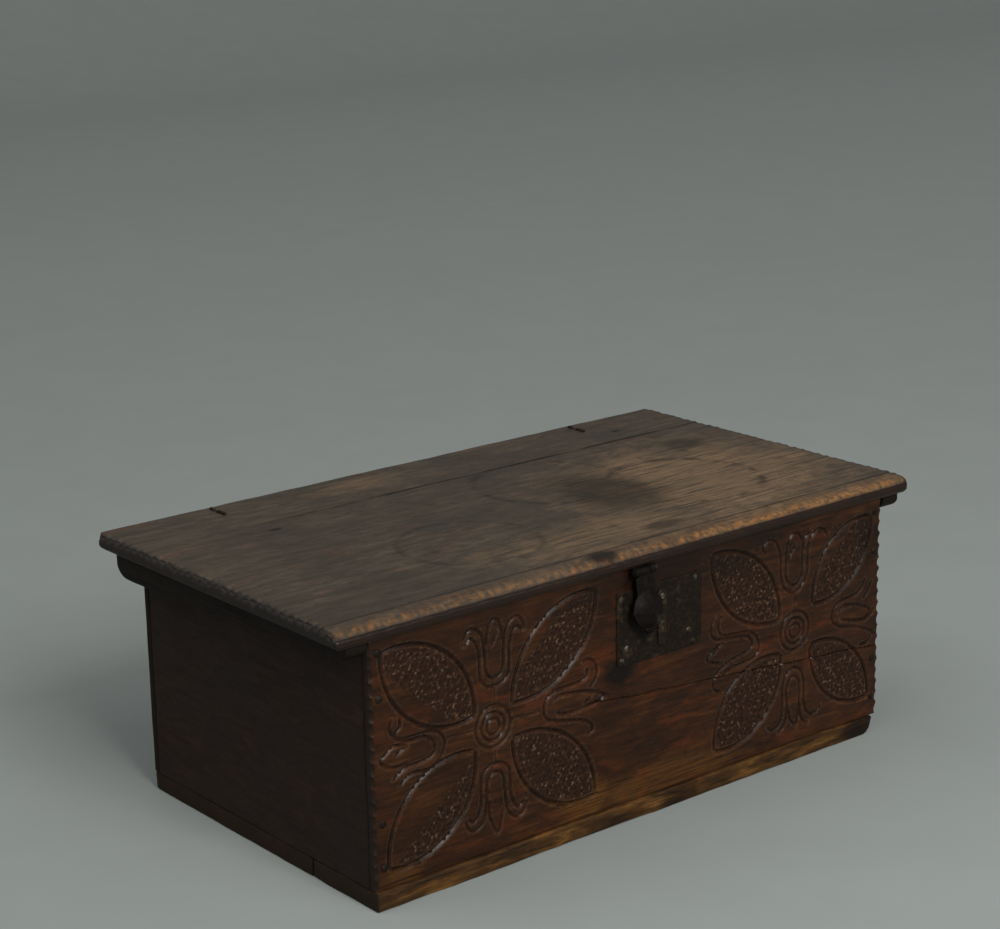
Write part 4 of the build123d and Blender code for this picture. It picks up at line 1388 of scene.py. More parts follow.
@dataclass
class Hasp(Forging):
    """The hasp: a barrel round the pin, a neck, a domed bulb and an upturned thumb tab."""

    pin: Pair = (-182.2, 237.8)  # the pin's y and z, mm
    middle: float = -9.5  # the hasp's x, mm
    rest_angle: float = 8.72  # how far it hangs out from plumb, degrees
    thickness: float = 2.5  # thickness of the forging, mm
    neck_half: float = 11.0  # half the width of the neck, mm
    bulb_drop: float = 35.8  # from the pin down to the bulb's middle, mm
    bulb_radius: float = 17.5  # radius of the bulb, mm
    dome: float = 4.5  # height of the bulb's dome, mm
    barrel: Triple = (3.8, 1.68, 5.5)  # outer radius, bore radius and half width of the barrel, mm
    tab_half: float = 6.0  # half the width of the tab, mm
    tab_drop: float = 2.2  # how far the tab hangs below the bulb, mm
    tab_reach: float = 8.0  # how far its end stands out in front, mm

    NODE = BODY = "hasp"
    BEND = 76
    BEND_INSIDE = 2.6
    TAB_ROUND = (0.2, 0.7, 1.5, 2.8)

    def body(self) -> Surface:
        """Neck, bulb and tab as one strip.

        The half width is the widest of the neck, the bulb's circle sqrt(r^2 - d^2) and the tab.
        The face is the dome's sphere cap over the bulb, plus hammer marks.

        Returns:
            The closed surface, hanging plumb.
        """
        y, z = self.pin
        back, low = y + self.thickness / 2, z - self.bulb_drop - self.bulb_radius - self.tab_drop
        straight = np.arange(z - 2, low + 3.4, -1.1)
        bend = np.linspace(0, math.radians(self.BEND), 8)
        radius = self.BEND_INSIDE + self.thickness
        arc = np.stack([back - radius * (1 - np.cos(bend)), straight[-1] - radius * np.sin(bend)], axis=1)
        out = np.array([-math.sin(bend[-1]), 0.55 - math.cos(bend[-1])])
        far = arc[-1] + np.linspace(0.9, self.tab_reach - 1.2, 6)[:, None] * out / np.linalg.norm(out)
        line = np.vstack([np.stack([np.full_like(straight, back), straight], axis=1), arc, far])
        station = np.arange(len(line))
        ahead = station >= len(straight)
        drop = z - np.where(ahead, low, line[:, 1])
        below = drop - self.bulb_drop
        circle = np.sqrt(np.clip(self.bulb_radius**2 - below**2, 0, None))
        neck = self.barrel[2] + (self.neck_half - self.barrel[2]) * smooth(drop, 3, 7)
        half = np.maximum(circle, np.where(below < 0, neck, self.tab_half))
        half = np.where(ahead, self.tab_half, half)
        half[-len(self.TAB_ROUND):] -= self.TAB_ROUND
        x, d = half[:, None] * np.linspace(-1, 1, 25), np.where(ahead, 99, below)[:, None]
        sphere = (self.bulb_radius**2 + self.dome**2) / (2 * self.dome)
        flat = sphere - self.dome
        cap = np.sqrt(np.clip(sphere**2 - x**2 - d**2, flat**2, None)) - flat
        marks = 0.16 * ripple(x, drop[:, None] + 0 * x, 61, 9)
        thin = 0.75 * smooth(station, len(line) - 9, len(line) - 1)[:, None]
        return Strip(line, half, self.middle, self.thickness + cap + marks - thin, 0.8).surface()

    def knuckle(self) -> Surface:
        """The barrel: a ring profile with rounded ends turned about the pin.

        Returns:
            The closed surface.
        """
        outer, bore, half = self.barrel
        right = np.array([(0, outer), (half - 0.8, outer), (half - 0.2, outer - 0.15),
                          (half, outer - 0.6), (half, bore + 0.3), (half - 0.3, bore)])
        left = right[:0:-1] * (-1, 1)
        x, r = np.vstack([left[1:], right, left[:1]]).T
        angle = np.linspace(0, 2 * np.pi, 36, endpoint=False)[:, None]
        loops = np.stack([self.middle + x + 0 * angle, self.pin[0] + r * np.cos(angle),
                          self.pin[1] + r * np.sin(angle)], axis=2)
        return tube_of_loops(loops, closed=True)

    def surface(self) -> Surface:
        """The whole hasp, swung out about the pin from hanging plumb to its rest.

        Returns:
            The closed surface.
        """
        whole = joined([self.body(), self.knuckle()])
        angle = math.radians(self.rest_angle)
        y, z = (whole.points[:, 1:] - self.pin).T
        whole.points[:, 1] = self.pin[0] + y * math.cos(angle) + z * math.sin(angle)
        whole.points[:, 2] = self.pin[1] - y * math.sin(angle) + z * math.cos(angle)
        return whole


@dataclass
class KeyholeCover(Forging):
    """The drop that hangs over the keyhole."""

    pivot: Pair = (15.5, 208.2)  # the rivet's x and z, mm
    top: float = 213.8  # height of its top, mm
    tip: float = 161.2  # height of its tip, mm
    back: float = -178.5  # the y of its back face, mm
    half: float = 5.85  # half its width at the pivot, mm
    tip_half: float = 4.4  # half its width at the tip, mm
    thickness: float = 1.6  # its thickness, mm

    NODE = BODY = "keyhole_cover"
    ROUNDS = (5.6, 3)
    END_LINES = (0, 0.25, 0.7, 1.4, 2.3, 3.4, 4.6)

    def surface(self) -> Surface:
        """A flat strip whose ends are rounded: half width sqrt(r^2 - d^2) near each end.

        Returns:
            The closed surface.
        """
        top_round, tip_round = self.ROUNDS
        z = stepped_lines(self.tip, self.top, self.END_LINES, 6, 1.8)[::-1]
        share = (self.pivot[1] - z) / (self.pivot[1] - self.tip)
        half = self.half + (self.tip_half - self.half) * np.clip(share, 0, 1)
        up = np.clip(top_round - (self.top - z), 0, top_round)
        down = np.clip(tip_round - (z - self.tip), 0, tip_round)
        half = np.minimum(half, 0.5 + np.sqrt(top_round**2 - up**2))
        half -= (tip_round - np.sqrt(tip_round**2 - down**2)) * 0.6
        half -= 0.2 * np.clip(ripple(z, 0 * z, 71, 16), 0, 1)
        across = np.linspace(-1, 1, 9)
        x = half[:, None] * across
        marks = 0.06 * (1 + ripple(x, z[:, None] + 0 * x, 73, 8))
        thick = self.thickness - 0.35 * smooth(np.abs(across), 0.55, 1) - marks
        line = np.stack([np.full_like(z, self.back), z], axis=1)
        return Strip(line, half, self.pivot[0], thick, 0.45).surface()


@dataclass
class Nails:
    """A set of hand-made nails with rose heads."""

    node: str  # the CAD node that they stand for
    body: str  # the body that they move with
    side: Side  # which way their heads look
    places: Shape  # where each stands, by the two coordinates of the face it is driven into, mm
    level: float  # the third coordinate, where the heads sit, along the side's direction, mm
    length: float  # length of the shanks, mm
    radius: float = 3.9  # radius of the heads, mm
    rise: float = 1.45  # height of the heads, mm
    seed: int = 5  # seed of the difference between the nails

    HEAD = ((0, 1), (0.38, 0.93), (0.66, 0.68), (0.88, 0.34), (0.97, 0.1))
    SECTORS = 15
    FLATS = 5

    def one(self, rng: np.random.Generator) -> Array:
        """The loops of one nail in its own frame, head upwards.

        The profile is turned about the shank. The head's radius falls by a cosine of five times
        the angle towards its rim, and each hammer facet has its own height.

        Args:
            rng: Source of the difference between the nails.

        Returns:
            The loops, (stations, points round, 3).
        """
        head = np.array(self.HEAD) * (self.radius, self.rise)
        r, w = np.vstack([head, [(0.95 * self.radius, -0.02), (1.25, -0.04), (1.05, -0.5 * self.length),
                                 (0.6, -0.96 * self.length), (0.02, -self.length)]]).T[..., None]
        r[0] = 0.02
        angle = np.linspace(0, 2 * np.pi, self.SECTORS, endpoint=False) + rng.uniform(0, 6)
        facet = np.arange(self.SECTORS) * self.FLATS // self.SECTORS
        tip = rng.uniform(0.72, 1, self.FLATS)[facet]
        lobe = 1 - 0.06 * (1 + np.cos(self.FLATS * (angle - angle[0] + np.pi / self.FLATS)))
        in_head = (w > -0.03) & (r > 0.1)
        r = r * np.where(in_head, lobe, 1)
        w = w * np.where(in_head & (r < 0.8 * self.radius), tip, 1)
        return np.stack([r * np.cos(angle), r * np.sin(angle), w + 0 * angle], axis=2)

    def build(self, finish: Material) -> Piece:
        """Make the nails and drive them in.

        Args:
            finish: The nails' material.

        Returns:
            The new piece.
        """
        rng = np.random.default_rng(self.seed)
        placing = Placing(self.side, np.zeros(3), np.zeros(3))
        spots = np.full((len(self.places), 3), float(self.level))
        spots[:, [axis for axis in range(3) if axis != placing.order[2]]] = self.places
        nails = []
        for spot in spots:
            nail = tube_of_loops(self.one(rng))
            nail.points = placing.in_part(nail.points)
            nails.append(Surface(nail.points + spot, turned_out(nail.points, nail.faces)))
        piece = joined(nails).as_object(self.node + "_iron", 28)
        return fitted(piece, finish, self.body, "nail_iron", self.node)


# ------------------------------------------------------------------ finishes
def tone(colour: Tone) -> tuple[float, float, float, float]:
    """A colour in steps of 0 to 255 as the linear light a shader takes, by the sRGB curve."""
    share = np.array(colour) / 255
    linear = np.where(share <= 0.04045, share / 12.92, ((share + 0.055) / 1.055) ** 2.4)
    return (*linear.tolist(), 1)


class Recipe:
    """A material's node tree, written one step at a time.

    Each step takes plain numbers or the outputs of earlier steps, and returns its own output.
    Places are Object coordinates, which lie in the part's frame, in metres.
    """

    def __init__(self, name: str) -> None:
        """Start an empty material."""
        self.material = bpy.data.materials.new(name)
        self.material.use_nodes = True
        self.tree = self.material.node_tree
        self.tree.nodes.clear()
        self.place = self.node("ShaderNodeTexCoord").outputs["Object"]

    def node(self, kind: str, inputs: dict | None = None, **settings: object) -> bpy.types.Node:
        """Add a node, with its settings.

        Args:
            kind: Blender's name of the node.
            inputs: The output to link to each input, or the plain value to set on it.
            settings: The node's own settings by name.

        Returns:
            The new node.
        """
        made = self.tree.nodes.new(kind)
        for key, value in settings.items():
            setattr(made, key, value)
        for key, value in (inputs or {}).items():
            if isinstance(value, Socket):
                self.tree.links.new(value, made.inputs[key])
            else:
                made.inputs[key].default_value = value
        return made

    def sum(self, operation: str, *values: object) -> Socket:
        """One step of arithmetic on numbers."""
        return self.node("ShaderNodeMath", dict(enumerate(values)), operation=operation).outputs[0]

    def times(self, one: object, other: object) -> Socket:
        """The product of two numbers."""
        return self.sum("MULTIPLY", one, other)

    def noise(self, scale: float | Sequence[float], detail: float = 3.0, roughness: float = 0.55,
              distortion: float = 0.0) -> Socket:
        """Cloudy noise, from 0 to 1 and mostly near a half.

        Args:
            scale: How many clouds there are to the metre, along every axis or along each.
            detail: How many finer layers it has.
            roughness: How strong the finer layers are.
            distortion: How much it is stirred.

        Returns:
            The noise at the place that is shaded.
        """
        scales = tuple(np.broadcast_to(scale, 3).tolist())
        place = self.node("ShaderNodeMapping", {"Vector": self.place, "Scale": scales}).outputs[0]
        inputs = {"Vector": place, "Scale": 1, "Detail": detail, "Roughness": roughness,
                  "Distortion": distortion}
        return self.node("ShaderNodeTexNoise", inputs).outputs[0]

    def levels(self, value: object, low: float, high: float, to_low: float = 0.0,
               to_high: float = 1.0) -> Socket:
        """A number eased from one range to another, and held at its ends."""
        inputs = {"Value": value, "From Min": low, "From Max": high, "To Min": to_low, "To Max": to_high}
        return self.node("ShaderNodeMapRange", inputs, interpolation_type="SMOOTHSTEP").outputs[0]

    def paint(self, name: str) -> Socket:
        """What a piece has painted on its points under a name; 0 where it has nothing."""
        return self.node("ShaderNodeAttribute", attribute_name=name).outputs["Fac"]

    def layered(self, colour: object, *layers: tuple[object, object]) -> Socket:
        """Colours laid one over another.

        Args:
            colour: The lowest, as a tone or an output.
            layers: The others from below upwards, each as its share of cover and its colour.

        Returns:
            The mixed colour.
        """
        for share, over in layers:
            under, over = (side if isinstance(side, Socket) else tone(side)
                           for side in (colour, over))
            colour = self.node("ShaderNodeMix", {0: share, 6: under, 7: over}, data_type="RGBA").outputs[2]
        return colour

    def far(self, centre: Sequence[float], weight: Sequence[float]) -> Socket:
        """Distance from a place in mm, with each axis weighted.

        Args:
            centre: The place, mm.
            weight: How much each axis counts.

        Returns:
            The distance.
        """
        inputs = {"Vector": self.place, "Scale": tuple(w / MM for w in weight),
                  "Location": tuple(-c * w for c, w in zip(centre, weight))}
        moved = self.node("ShaderNodeMapping", inputs).outputs[0]
        return self.node("ShaderNodeVectorMath", {0: moved}, operation="LENGTH").outputs["Value"]

    def bumped(self, height: object, distance: float, under: object = None) -> Socket:
        """A normal that follows a height; distance is the height's range in mm."""
        inputs = {"Height": height, "Distance": distance * MM, "Strength": 1}
        if under is not None:
            inputs["Normal"] = under
        return self.node("ShaderNodeBump", inputs).outputs[0]

    def done(self, colour: object, roughness: object, normal: object, **fixed: float) -> Material:
        """Close the tree with a Principled shader; the fixed values go on its own sockets.

        Args:
            colour: The colour.
            roughness: The roughness.
            normal: The bumped normal.
            fixed: Plain values for other sockets.

        Returns:
            The finished material.
        """
        inputs = {"Base Color": colour, "Roughness": roughness, "Normal": normal}
        inputs.update({key.replace("_", " "): value for key, value in fixed.items()})
        shader = self.node("ShaderNodeBsdfPrincipled", inputs)
        self.node("ShaderNodeOutputMaterial", {"Surface": shader.outputs[0]})
        return self.material


@dataclass(frozen=True)
class Stain:
    """A dark or light mark: a disc, or a ring left by something that stood there."""

    centre: Triple  # its middle in the part's frame, mm
    radius: float  # its radius, mm
    width: float  # width of a ring's line, mm; 0 for a disc
    strength: float  # how strong it is, from 0 to 1
    squeeze: Triple = (1.0, 1.0, 1.0)  # how much shorter it is along each axis than along x


@dataclass(frozen=True)
class OakFinish:
    """Old oak under wax and dirt."""

    name: str  # name of the material
    grain: int  # the axis that the grain runs along, 0 to 2
    dark: Tone  # tone of its darkest streaks
    mid: Tone  # tone of most of it
    light: Tone  # tone of its lightest streaks
    hollow: Tone = (16, 10, 6)  # tone of dirt, and of painted shade, in hollows
    worn: Tone = (112, 76, 40)  # tone of rubbed edges, and on the carved front of painted glints and highlights
    ground: Tone = (50, 32, 18)  # tone of punched ground, and on the lid the painted shade of its lower front edge
    warm: Tone = (84, 48, 26)  # tone of its reddest patches
    pale: Tone = (96, 70, 34)  # tone of its light patches
    edge: Tone = (24, 19, 15)  # tone of its ends
    dry: Tone = (104, 84, 60)  # tone of surfaces that were never waxed
    gloss: float = 0.36  # roughness where it is most polished
    dull: float = 0.6  # roughness where it is least polished
    coat: float = 0.15  # weight of the wax coat
    streaky: float = 1.0  # how strong the streaks are; 1 is the usual
    blush: float = 0.5  # how much of it is covered by the warm patches, from 0 to 1
    patchy: float = 0.6  # how dark the wide patches of dirt are, from 0 to 1
    level: float = 0.1  # how strongly it mirrors; a half is the usual
    darker: tuple[Stain, ...] = ()  # dark stains, and on the carved front a painted shadow under the lid
    lighter: tuple[Stain, ...] = ()  # light patches, in the pale tone

    WAX_ROUGHNESS = 0.24
    EDGE_ROUGHNESS = 0.62
    DRY_ROUGHNESS = 0.8
    GRAIN_HEIGHT = 0.2
    PATCH_HEIGHT = 1.2

    def streaks(self, recipe: Recipe, length: float, width: float, *rest: float) -> Socket:
        """Noise drawn out along the grain.

        Args:
            recipe: The material's recipe.
            length: Length of its streaks, mm.
            width: Their width, mm.
            rest: Detail, roughness and distortion of the noise.

        Returns:
            The noise.
        """
        scale = [1000 / width] * 3
        scale[self.grain] = 1000 / length
        return recipe.noise(scale, *rest)

    def stained(self, recipe: Recipe, stains: Sequence[Stain]) -> Socket:
        """All of one sort of stains, broken up by noise.

        Args:
            recipe: The material's recipe.
            stains: The discs and rings.

        Returns:
            How stained the place is, from 0 to 1.
        """
        ragged = recipe.noise(60, 3)
        total = 0
        for stain in stains:
            far = recipe.far(stain.centre, stain.squeeze)
            if stain.width:
                off = recipe.sum("ABSOLUTE", recipe.sum("SUBTRACT", far, stain.radius))
                share = recipe.times(recipe.levels(off, 0, stain.width, stain.strength, 0),
                                     recipe.levels(ragged, 0.35, 0.6))
            else:
                torn = 0.2 * stain.radius
                far = recipe.sum("ADD", far, recipe.levels(ragged, 0.2, 0.8, -torn, torn))
                share = recipe.levels(far, 0.35 * stain.radius, stain.radius, stain.strength, 0)
            total = recipe.sum("MAXIMUM", total, share)
        return total

    def material(self) -> Material:
        """The finished material.

        Contour lines of stretched noise give the figure, fine stretched noise the streaks and
        the pores, and wide noise the patches where wax and dirt have built up.

        Returns:
            The new material.
        """
        recipe = Recipe(self.name)
        times, levels, paint = recipe.times, recipe.levels, recipe.paint
        rings = recipe.sum("PINGPONG", times(self.streaks(recipe, 260, 26, 3, 0.55, 0.6), 9), 1)
        streak = self.streaks(recipe, 70, 2.6, 4, 0.62)
        fine = self.streaks(recipe, 22, 0.7, 3, 0.6)
        pores = levels(self.streaks(recipe, 9, 0.45, 2, 0.5), 0.6, 0.7)
        mottle = self.streaks(recipe, 75, 26, 5, 0.62, 0.5)
        wisp = self.streaks(recipe, 30, 7, 4, 0.6, 0.6)
        patch = recipe.noise(11, 4, 0.6)
        speck = recipe.noise(210, 3, 0.65)
        streaks = recipe.sum("ADD", times(streak, 0.75), times(fine, 0.35))
        even = recipe.sum("ADD", times(recipe.sum("SUBTRACT", streaks, 0.55), self.streaky),
                          0.55 + 0.12 * (1 - self.streaky))
        figure = recipe.sum("ADD", times(rings, 0.32 * self.streaky), even)
        hollow, edge, inner = paint("hollow"), paint("edge"), paint("inner")
        layers = [(levels(figure, 0.42, 0.7), self.mid),
                  (levels(figure, 0.68, 1.02), self.light),
                  (levels(mottle, 0.62 - 0.2 * self.blush, 0.74 - 0.1 * self.blush, 0, 0.85), self.warm),
                  (levels(patch, 0.36, 0.6, self.patchy, 0), self.dark),
                  (levels(wisp, 0.42, 0.6, 0.5, 0), self.dark),
                  (levels(speck, 0.6, 0.75, 0, 0.45), self.hollow)]
        if self.lighter:
            layers.append((times(self.stained(recipe, self.lighter), levels(streak, 0.35, 0.6)), self.pale))
        # On some pieces the ground, worn and pit paints, and the paint of hollows below, carry painted shade
        # and painted glints besides their own tones.
        layers += [(times(paint("ground"), 0.97), self.ground),
                   (times(paint("worn"), levels(speck, 0.4, 0.62, 1, 0.2)), self.worn),
                   (paint("pit"), self.hollow),
                   (times(pores, 0.6), self.hollow)]
        if self.darker:
            layers.append((self.stained(recipe, self.darker), self.hollow))
        dry = recipe.layered([0.72 * c for c in self.dry], (levels(figure, 0.5, 0.95), self.dry),
                             (levels(patch, 0.4, 0.6, 0.4, 0), [0.5 * c for c in self.dry]))
        layers += [(times(hollow, 0.85), self.hollow), (times(edge, 0.9), self.edge), (inner, dry)]
        polish = recipe.sum("ADD", levels(patch, 0.35, 0.65, self.gloss, 0.5 * (self.gloss + self.dull)),
                            times(levels(streak, 0.3, 0.7), 0.12))
        polish = recipe.sum("SUBTRACT", polish, times(hollow, 0.08))
        for painted, least in ((edge, self.EDGE_ROUGHNESS), (inner, self.DRY_ROUGHNESS)):
            polish = recipe.sum("MAXIMUM", polish, times(painted, least))
        height = recipe.sum("ADD", times(streak, 0.5), times(fine, 0.5))
        height = recipe.sum("SUBTRACT", height, times(pores, 0.6))
        normal = recipe.bumped(patch, self.PATCH_HEIGHT, recipe.bumped(height, self.GRAIN_HEIGHT))
        return recipe.done(recipe.layered(self.dark, *layers), polish, normal, Coat_Weight=self.coat,
                           Coat_Roughness=self.WAX_ROUGHNESS, Specular_IOR_Level=self.level)


@dataclass(frozen=True)
class IronFinish:
    """Forged iron, dark with scale and handling."""

    name: str  # name of the material
    scale_tone: Tone = (34, 29, 25)  # tone of the dark scale
    bare: Tone = (118, 110, 98)  # tone where it is rubbed bare
    rust: Tone = (58, 38, 22)  # tone of the rust between
    metal: float = 0.6  # how metallic it is
    gloss: float = 0.34  # roughness where it is rubbed
    rubbed: float = 0.3  # share of the surface that is rubbed, from 0 to 1
    level: float = 0.15  # how strongly it mirrors where it isn't metal; a half is the usual

    def material(self) -> Material:
        """The finished material: patches of scale, rust in specks, and a rubbed skin.

        Returns:
            The new material.
        """
        recipe = Recipe(self.name)
        levels = recipe.levels
        wide, close, speck = (recipe.noise(scale, detail, roughness) for scale, detail, roughness
                              in ((45, 4, 0.6), (260, 4, 0.65), (900, 2, 0.5)))
        edge = 0.72 - 0.35 * self.rubbed
        shine = recipe.times(levels(wide, edge - 0.12, edge + 0.1), levels(close, 0.35, 0.6))
        colour = recipe.layered(self.scale_tone, (levels(close, 0.45, 0.65, 0, 0.75), self.rust),
                                (shine, self.bare), (levels(speck, 0.6, 0.72, 0, 0.5), self.scale_tone))
        polish = recipe.sum("SUBTRACT", levels(close, 0.3, 0.7, self.gloss + 0.12, self.gloss + 0.3),
                            recipe.times(shine, 0.15))
        normal = recipe.bumped(wide, 0.9, recipe.bumped(close, 0.35))
        return recipe.done(colour, polish, normal, Metallic=self.metal, Specular_IOR_Level=self.level)


# ------------------------------------------------------------------ the studio
@dataclass(frozen=True)
class Studio:
    """A pale floor, soft lamps and a camera.

    FLOOR holds the floor's near edge, where it starts to bend, the bend's radius and the top of
    the backdrop, and FLOOR_HALF is half its width, all in metres.
    """

    place: Triple = (-1360.8, -1649.0, 884.5)  # where the camera stands in the part's frame, mm
    yaw: float = 0.6812  # how far it is turned from +Y towards +X, radians
    pitch: float = -0.2679  # how far it looks up, radians
    roll: float = -0.0192  # how far it leans, radians
    lens: float = 84.62  # focal length for a sensor 36 mm wide, mm
    floor: Tone = (131, 136, 132)  # tone of the floor
    sky: Tone = (104, 106, 109)  # tone of the even light from all round

    FLOOR = (-9, 5, 2, 6)
    FLOOR_HALF = 12

    def stood(self, name: str, data: bpy.types.ID, axes: Array,
              place: Sequence[float] = (0.0, 0.0, 0.0)) -> Piece:
        """Stand a lamp or the camera in the studio.

        Args:
            name: Its name.
            data: Its lamp or camera data.
            axes: Its own right, up and backward directions, as columns.
            place: Where it stands, m.

        Returns:
            The new object.
        """
        stand = np.eye(4)
        stand[:3, :3], stand[:3, 3] = axes, place
        made = bpy.data.objects.new(name, data)
        made.matrix_world = Matrix(stand.tolist())
        bpy.context.scene.collection.objects.link(made)
        return made

    def facing(self, back: Array) -> Array:
        """Axes for a lamp that shines away from a direction; the first of them is level.

        Args:
            back: The direction that the light comes from.

        Returns:
            The axes, as columns.
        """
        back = back / np.linalg.norm(back)
        right = np.cross((0, 0, 1), back)
        right /= np.linalg.norm(right)
        return np.stack([right, np.cross(back, right), back], axis=1)

    def camera(self) -> None:
        """Stand the camera: its axes come from yaw and pitch, and then lean by the roll."""
        data = bpy.data.cameras.new("studio_camera")
        data.sensor_fit, data.sensor_width, data.lens = "HORIZONTAL", 36, self.lens
        data.clip_start, data.clip_end = 0.05, 60
        level = math.cos(self.pitch)
        look = np.array([math.sin(self.yaw) * level, math.cos(self.yaw) * level, math.sin(self.pitch)])
        right = np.array([math.cos(self.yaw), -math.sin(self.yaw), 0])
        up = np.cross(right, look)
        cosine, sine = math.cos(self.roll), math.sin(self.roll)
        axes = np.stack([cosine * right + sine * up, cosine * up - sine * right, -look], axis=1)
        place = np.array(self.place) * MM
        bpy.context.scene.camera = self.stood("studio_camera", data, axes, place)

    def lamp(self, name: str, place: Sequence[float], aim: Sequence[float], size: float,
             power: float) -> None:
        """A square soft lamp at a place, aimed at another; both in metres."""
        data = bpy.data.lights.new(name, "AREA")
        data.size, data.energy = size, power
        self.stood(name, data, self.facing(np.subtract(place, aim)), place)

    def sun(self, name: str, way: Sequence[float], power: float, spread: float) -> None:
        """Even light from far away; it comes from the given way, over an angle in degrees."""
        data = bpy.data.lights.new(name, "SUN")
        data.energy, data.angle = power, math.radians(spread)
        self.stood(name, data, self.facing(np.array(way)))

    def ground(self) -> None:
        """A wide floor that curves up into a backdrop far behind: a line carried along x.

        The floor is flat as far as the bend, and then a quarter circle takes it upwards.
        """
        bend = np.linspace(0, math.pi / 2, 17)
        near, far, radius, top = self.FLOOR
        y = np.concatenate([[near], far + radius * np.sin(bend), [far + radius]])
        z = np.concatenate([[0], radius * (1 - np.cos(bend)), [top]])
        x = np.linspace(-self.FLOOR_HALF, self.FLOOR_HALF, 5)[:, None]
        grid = np.stack([x + 0 * y, y + 0 * x, z + 0 * x], axis=2)
        numbers = np.arange(grid[..., 0].size).reshape(grid.shape[:2])
        surface = Surface(grid.reshape(-1, 3) / MM, skin(numbers)[:, ::-1].tolist())
        piece = surface.as_object("studio_floor")
        recipe = Recipe("studio_floor")
        cloud = recipe.noise(9, 3)
        dimmed = [0.985 * c for c in self.floor]
        colour = recipe.layered(dimmed, (recipe.levels(cloud, 0.3, 0.7), self.floor))
        piece.data.materials.append(recipe.done(colour, 0.85, recipe.bumped(cloud, 0.1)))

    def build(self) -> None:
        """Light the studio and put the camera up."""
        world = bpy.data.worlds.new("studio_sky")
        world.use_nodes = True
        world.node_tree.nodes["Background"].inputs["Color"].default_value = tone(self.sky)
        bpy.context.scene.world = world
        bpy.context.scene.view_settings.view_transform = "Standard"
        self.lamp("key_lamp", (-0.5, -2.9, 2.2), (0, 0, 0.15), 1.4, 110)
        self.sun("front_sun", (0.1, -0.8, 0.7), 0.9, 50)
        self.sun("top_sun", (-0.5, 0.2, 1), 1, 60)
        self.sun("left_sun", (-0.65, 0.75, 0.3), 0.8, 60)
        self.ground()
        self.camera()


# ------------------------------------------------------------------ the box
# On the carved front, worn holds painted glints and highlights on the carving as well as wear.
CARVED = OakFinish(
    "carved_oak", 0, (25, 13, 5), (51, 26, 9), (73, 41, 15), hollow=(11, 6, 3), worn=(112, 88, 67),
    ground=(41, 22, 10), warm=(78, 35, 12), pale=(98, 63, 22), edge=(28, 20, 15), gloss=0.23, dull=0.36,
    coat=0.03, blush=0.5, level=0.15, patchy=0.5, streaky=0.8,
    darker=(Stain((-34, -177, 146), 28, 0, 0.95, (1, 1, 1.4)),
            Stain((14, -177, 182), 62, 0, 0.5, (1, 1, 1.3)),
            Stain((296, -177, 205), 42, 0, 0.5, (1.4, 1, 1)),
            # painted shadow under the lid along the top of the front
            Stain((60, -177, 232), 100, 0, 0.55, (0.45, 1, 3))),
    lighter=(Stain((20, -177, 30), 24, 0, 0.35, (0.16, 1, 1)),
             Stain((-80, -177, 34), 26, 0, 0.6, (0.5, 1, 1)),
             Stain((-280, -177, 26), 18, 0, 0.3, (0.6, 1, 1))))
PLAIN_ALONG = OakFinish("carcase_oak_long", 0, (30, 22, 17), (44, 33, 25), (56, 43, 32), warm=(56, 36, 27),
                        edge=(32, 24, 18), coat=0, streaky=0.6, blush=0.3, level=0.06)
PLAIN_ACROSS = OakFinish("carcase_oak_ends", 1, (32, 23, 19), (46, 34, 28), (55, 42, 34), warm=(58, 38, 30),
                         edge=(32, 24, 18), coat=0, streaky=0.4, blush=0.4, level=0.06, patchy=0.4)
BASE = OakFinish("base_oak", 0, (28, 19, 11), (74, 49, 23), (108, 74, 34), warm=(90, 57, 25),
                 hollow=(13, 9, 6), edge=(34, 25, 17), coat=0, gloss=0.5, level=0.1, patchy=0.35, blush=0.4,
                 darker=(Stain((288, -178, 6), 30, 0, 0.85, (0.7, 0.2, 1)),
                         Stain((40, -178, 6), 24, 0, 0.6, (0.7, 0.2, 1))))
LID = OakFinish(
    "lid_oak", 0, (48, 42, 36), (73, 63, 52), (92, 80, 64), hollow=(19, 14, 10), worn=(140, 94, 46),
    # ground: painted shade on the lid's lower front edge
    ground=(30, 14, 4), warm=(90, 64, 49), pale=(126, 100, 72), edge=(22, 17, 13), dry=(84, 68, 52),
    gloss=0.36, dull=0.5, coat=0.04, streaky=0.6, blush=0.35, level=0.22, patchy=0.5,
    darker=(Stain((176, -41, 257), 76, 8, 0.6), Stain((71, 44, 257), 74, 8, 0.45),
            Stain((-110, -60, 257), 66, 6, 0.4),
            Stain((92, -22, 257), 70, 0, 0.7, (1, 0.75, 0)),
            Stain((56, -137, 257), 15, 0, 0.6, (0.5, 1, 0)),
            Stain((268, 60, 257), 26, 0, 0.6, (0.7, 1, 0)),
            Stain((-46, -168, 252), 14, 0, 0.85, (0.6, 1, 0)),
            Stain((-216, 93, 257), 5, 0, 0.8, (0.5, 1, 0)),
            Stain((252, 145, 257), 5, 0, 0.9, (0.6, 1, 0))),
    lighter=(Stain((190, -50, 257), 170, 0, 0.7, (0.85, 1, 0)),
             Stain((20, -120, 257), 60, 0, 0.5, (0.3, 1, 0)),
             Stain((-70, 165, 257), 26, 0, 0.45, (0.35, 1, 0))))
CLEAT = OakFinish("cleat_oak", 1, (22, 17, 13), (31, 25, 19), (42, 34, 26), warm=(38, 27, 20), blush=0.2,
                  coat=0, level=0.06)
IRON = IronFinish("wrought_iron", (14, 11, 9), (64, 57, 48), (24, 16, 10), 0.15, 0.34, 0.12, 0.08)
HINGE_IRON = IronFinish("hinge_iron", (34, 28, 22), (66, 58, 46), (48, 33, 22), 0.3, 0.45, 0.2)
PLATE_IRON = IronFinish("plate_iron", (23, 18, 13), (66, 56, 42), (42, 28, 16), 0.4, 0.38, 0.2)
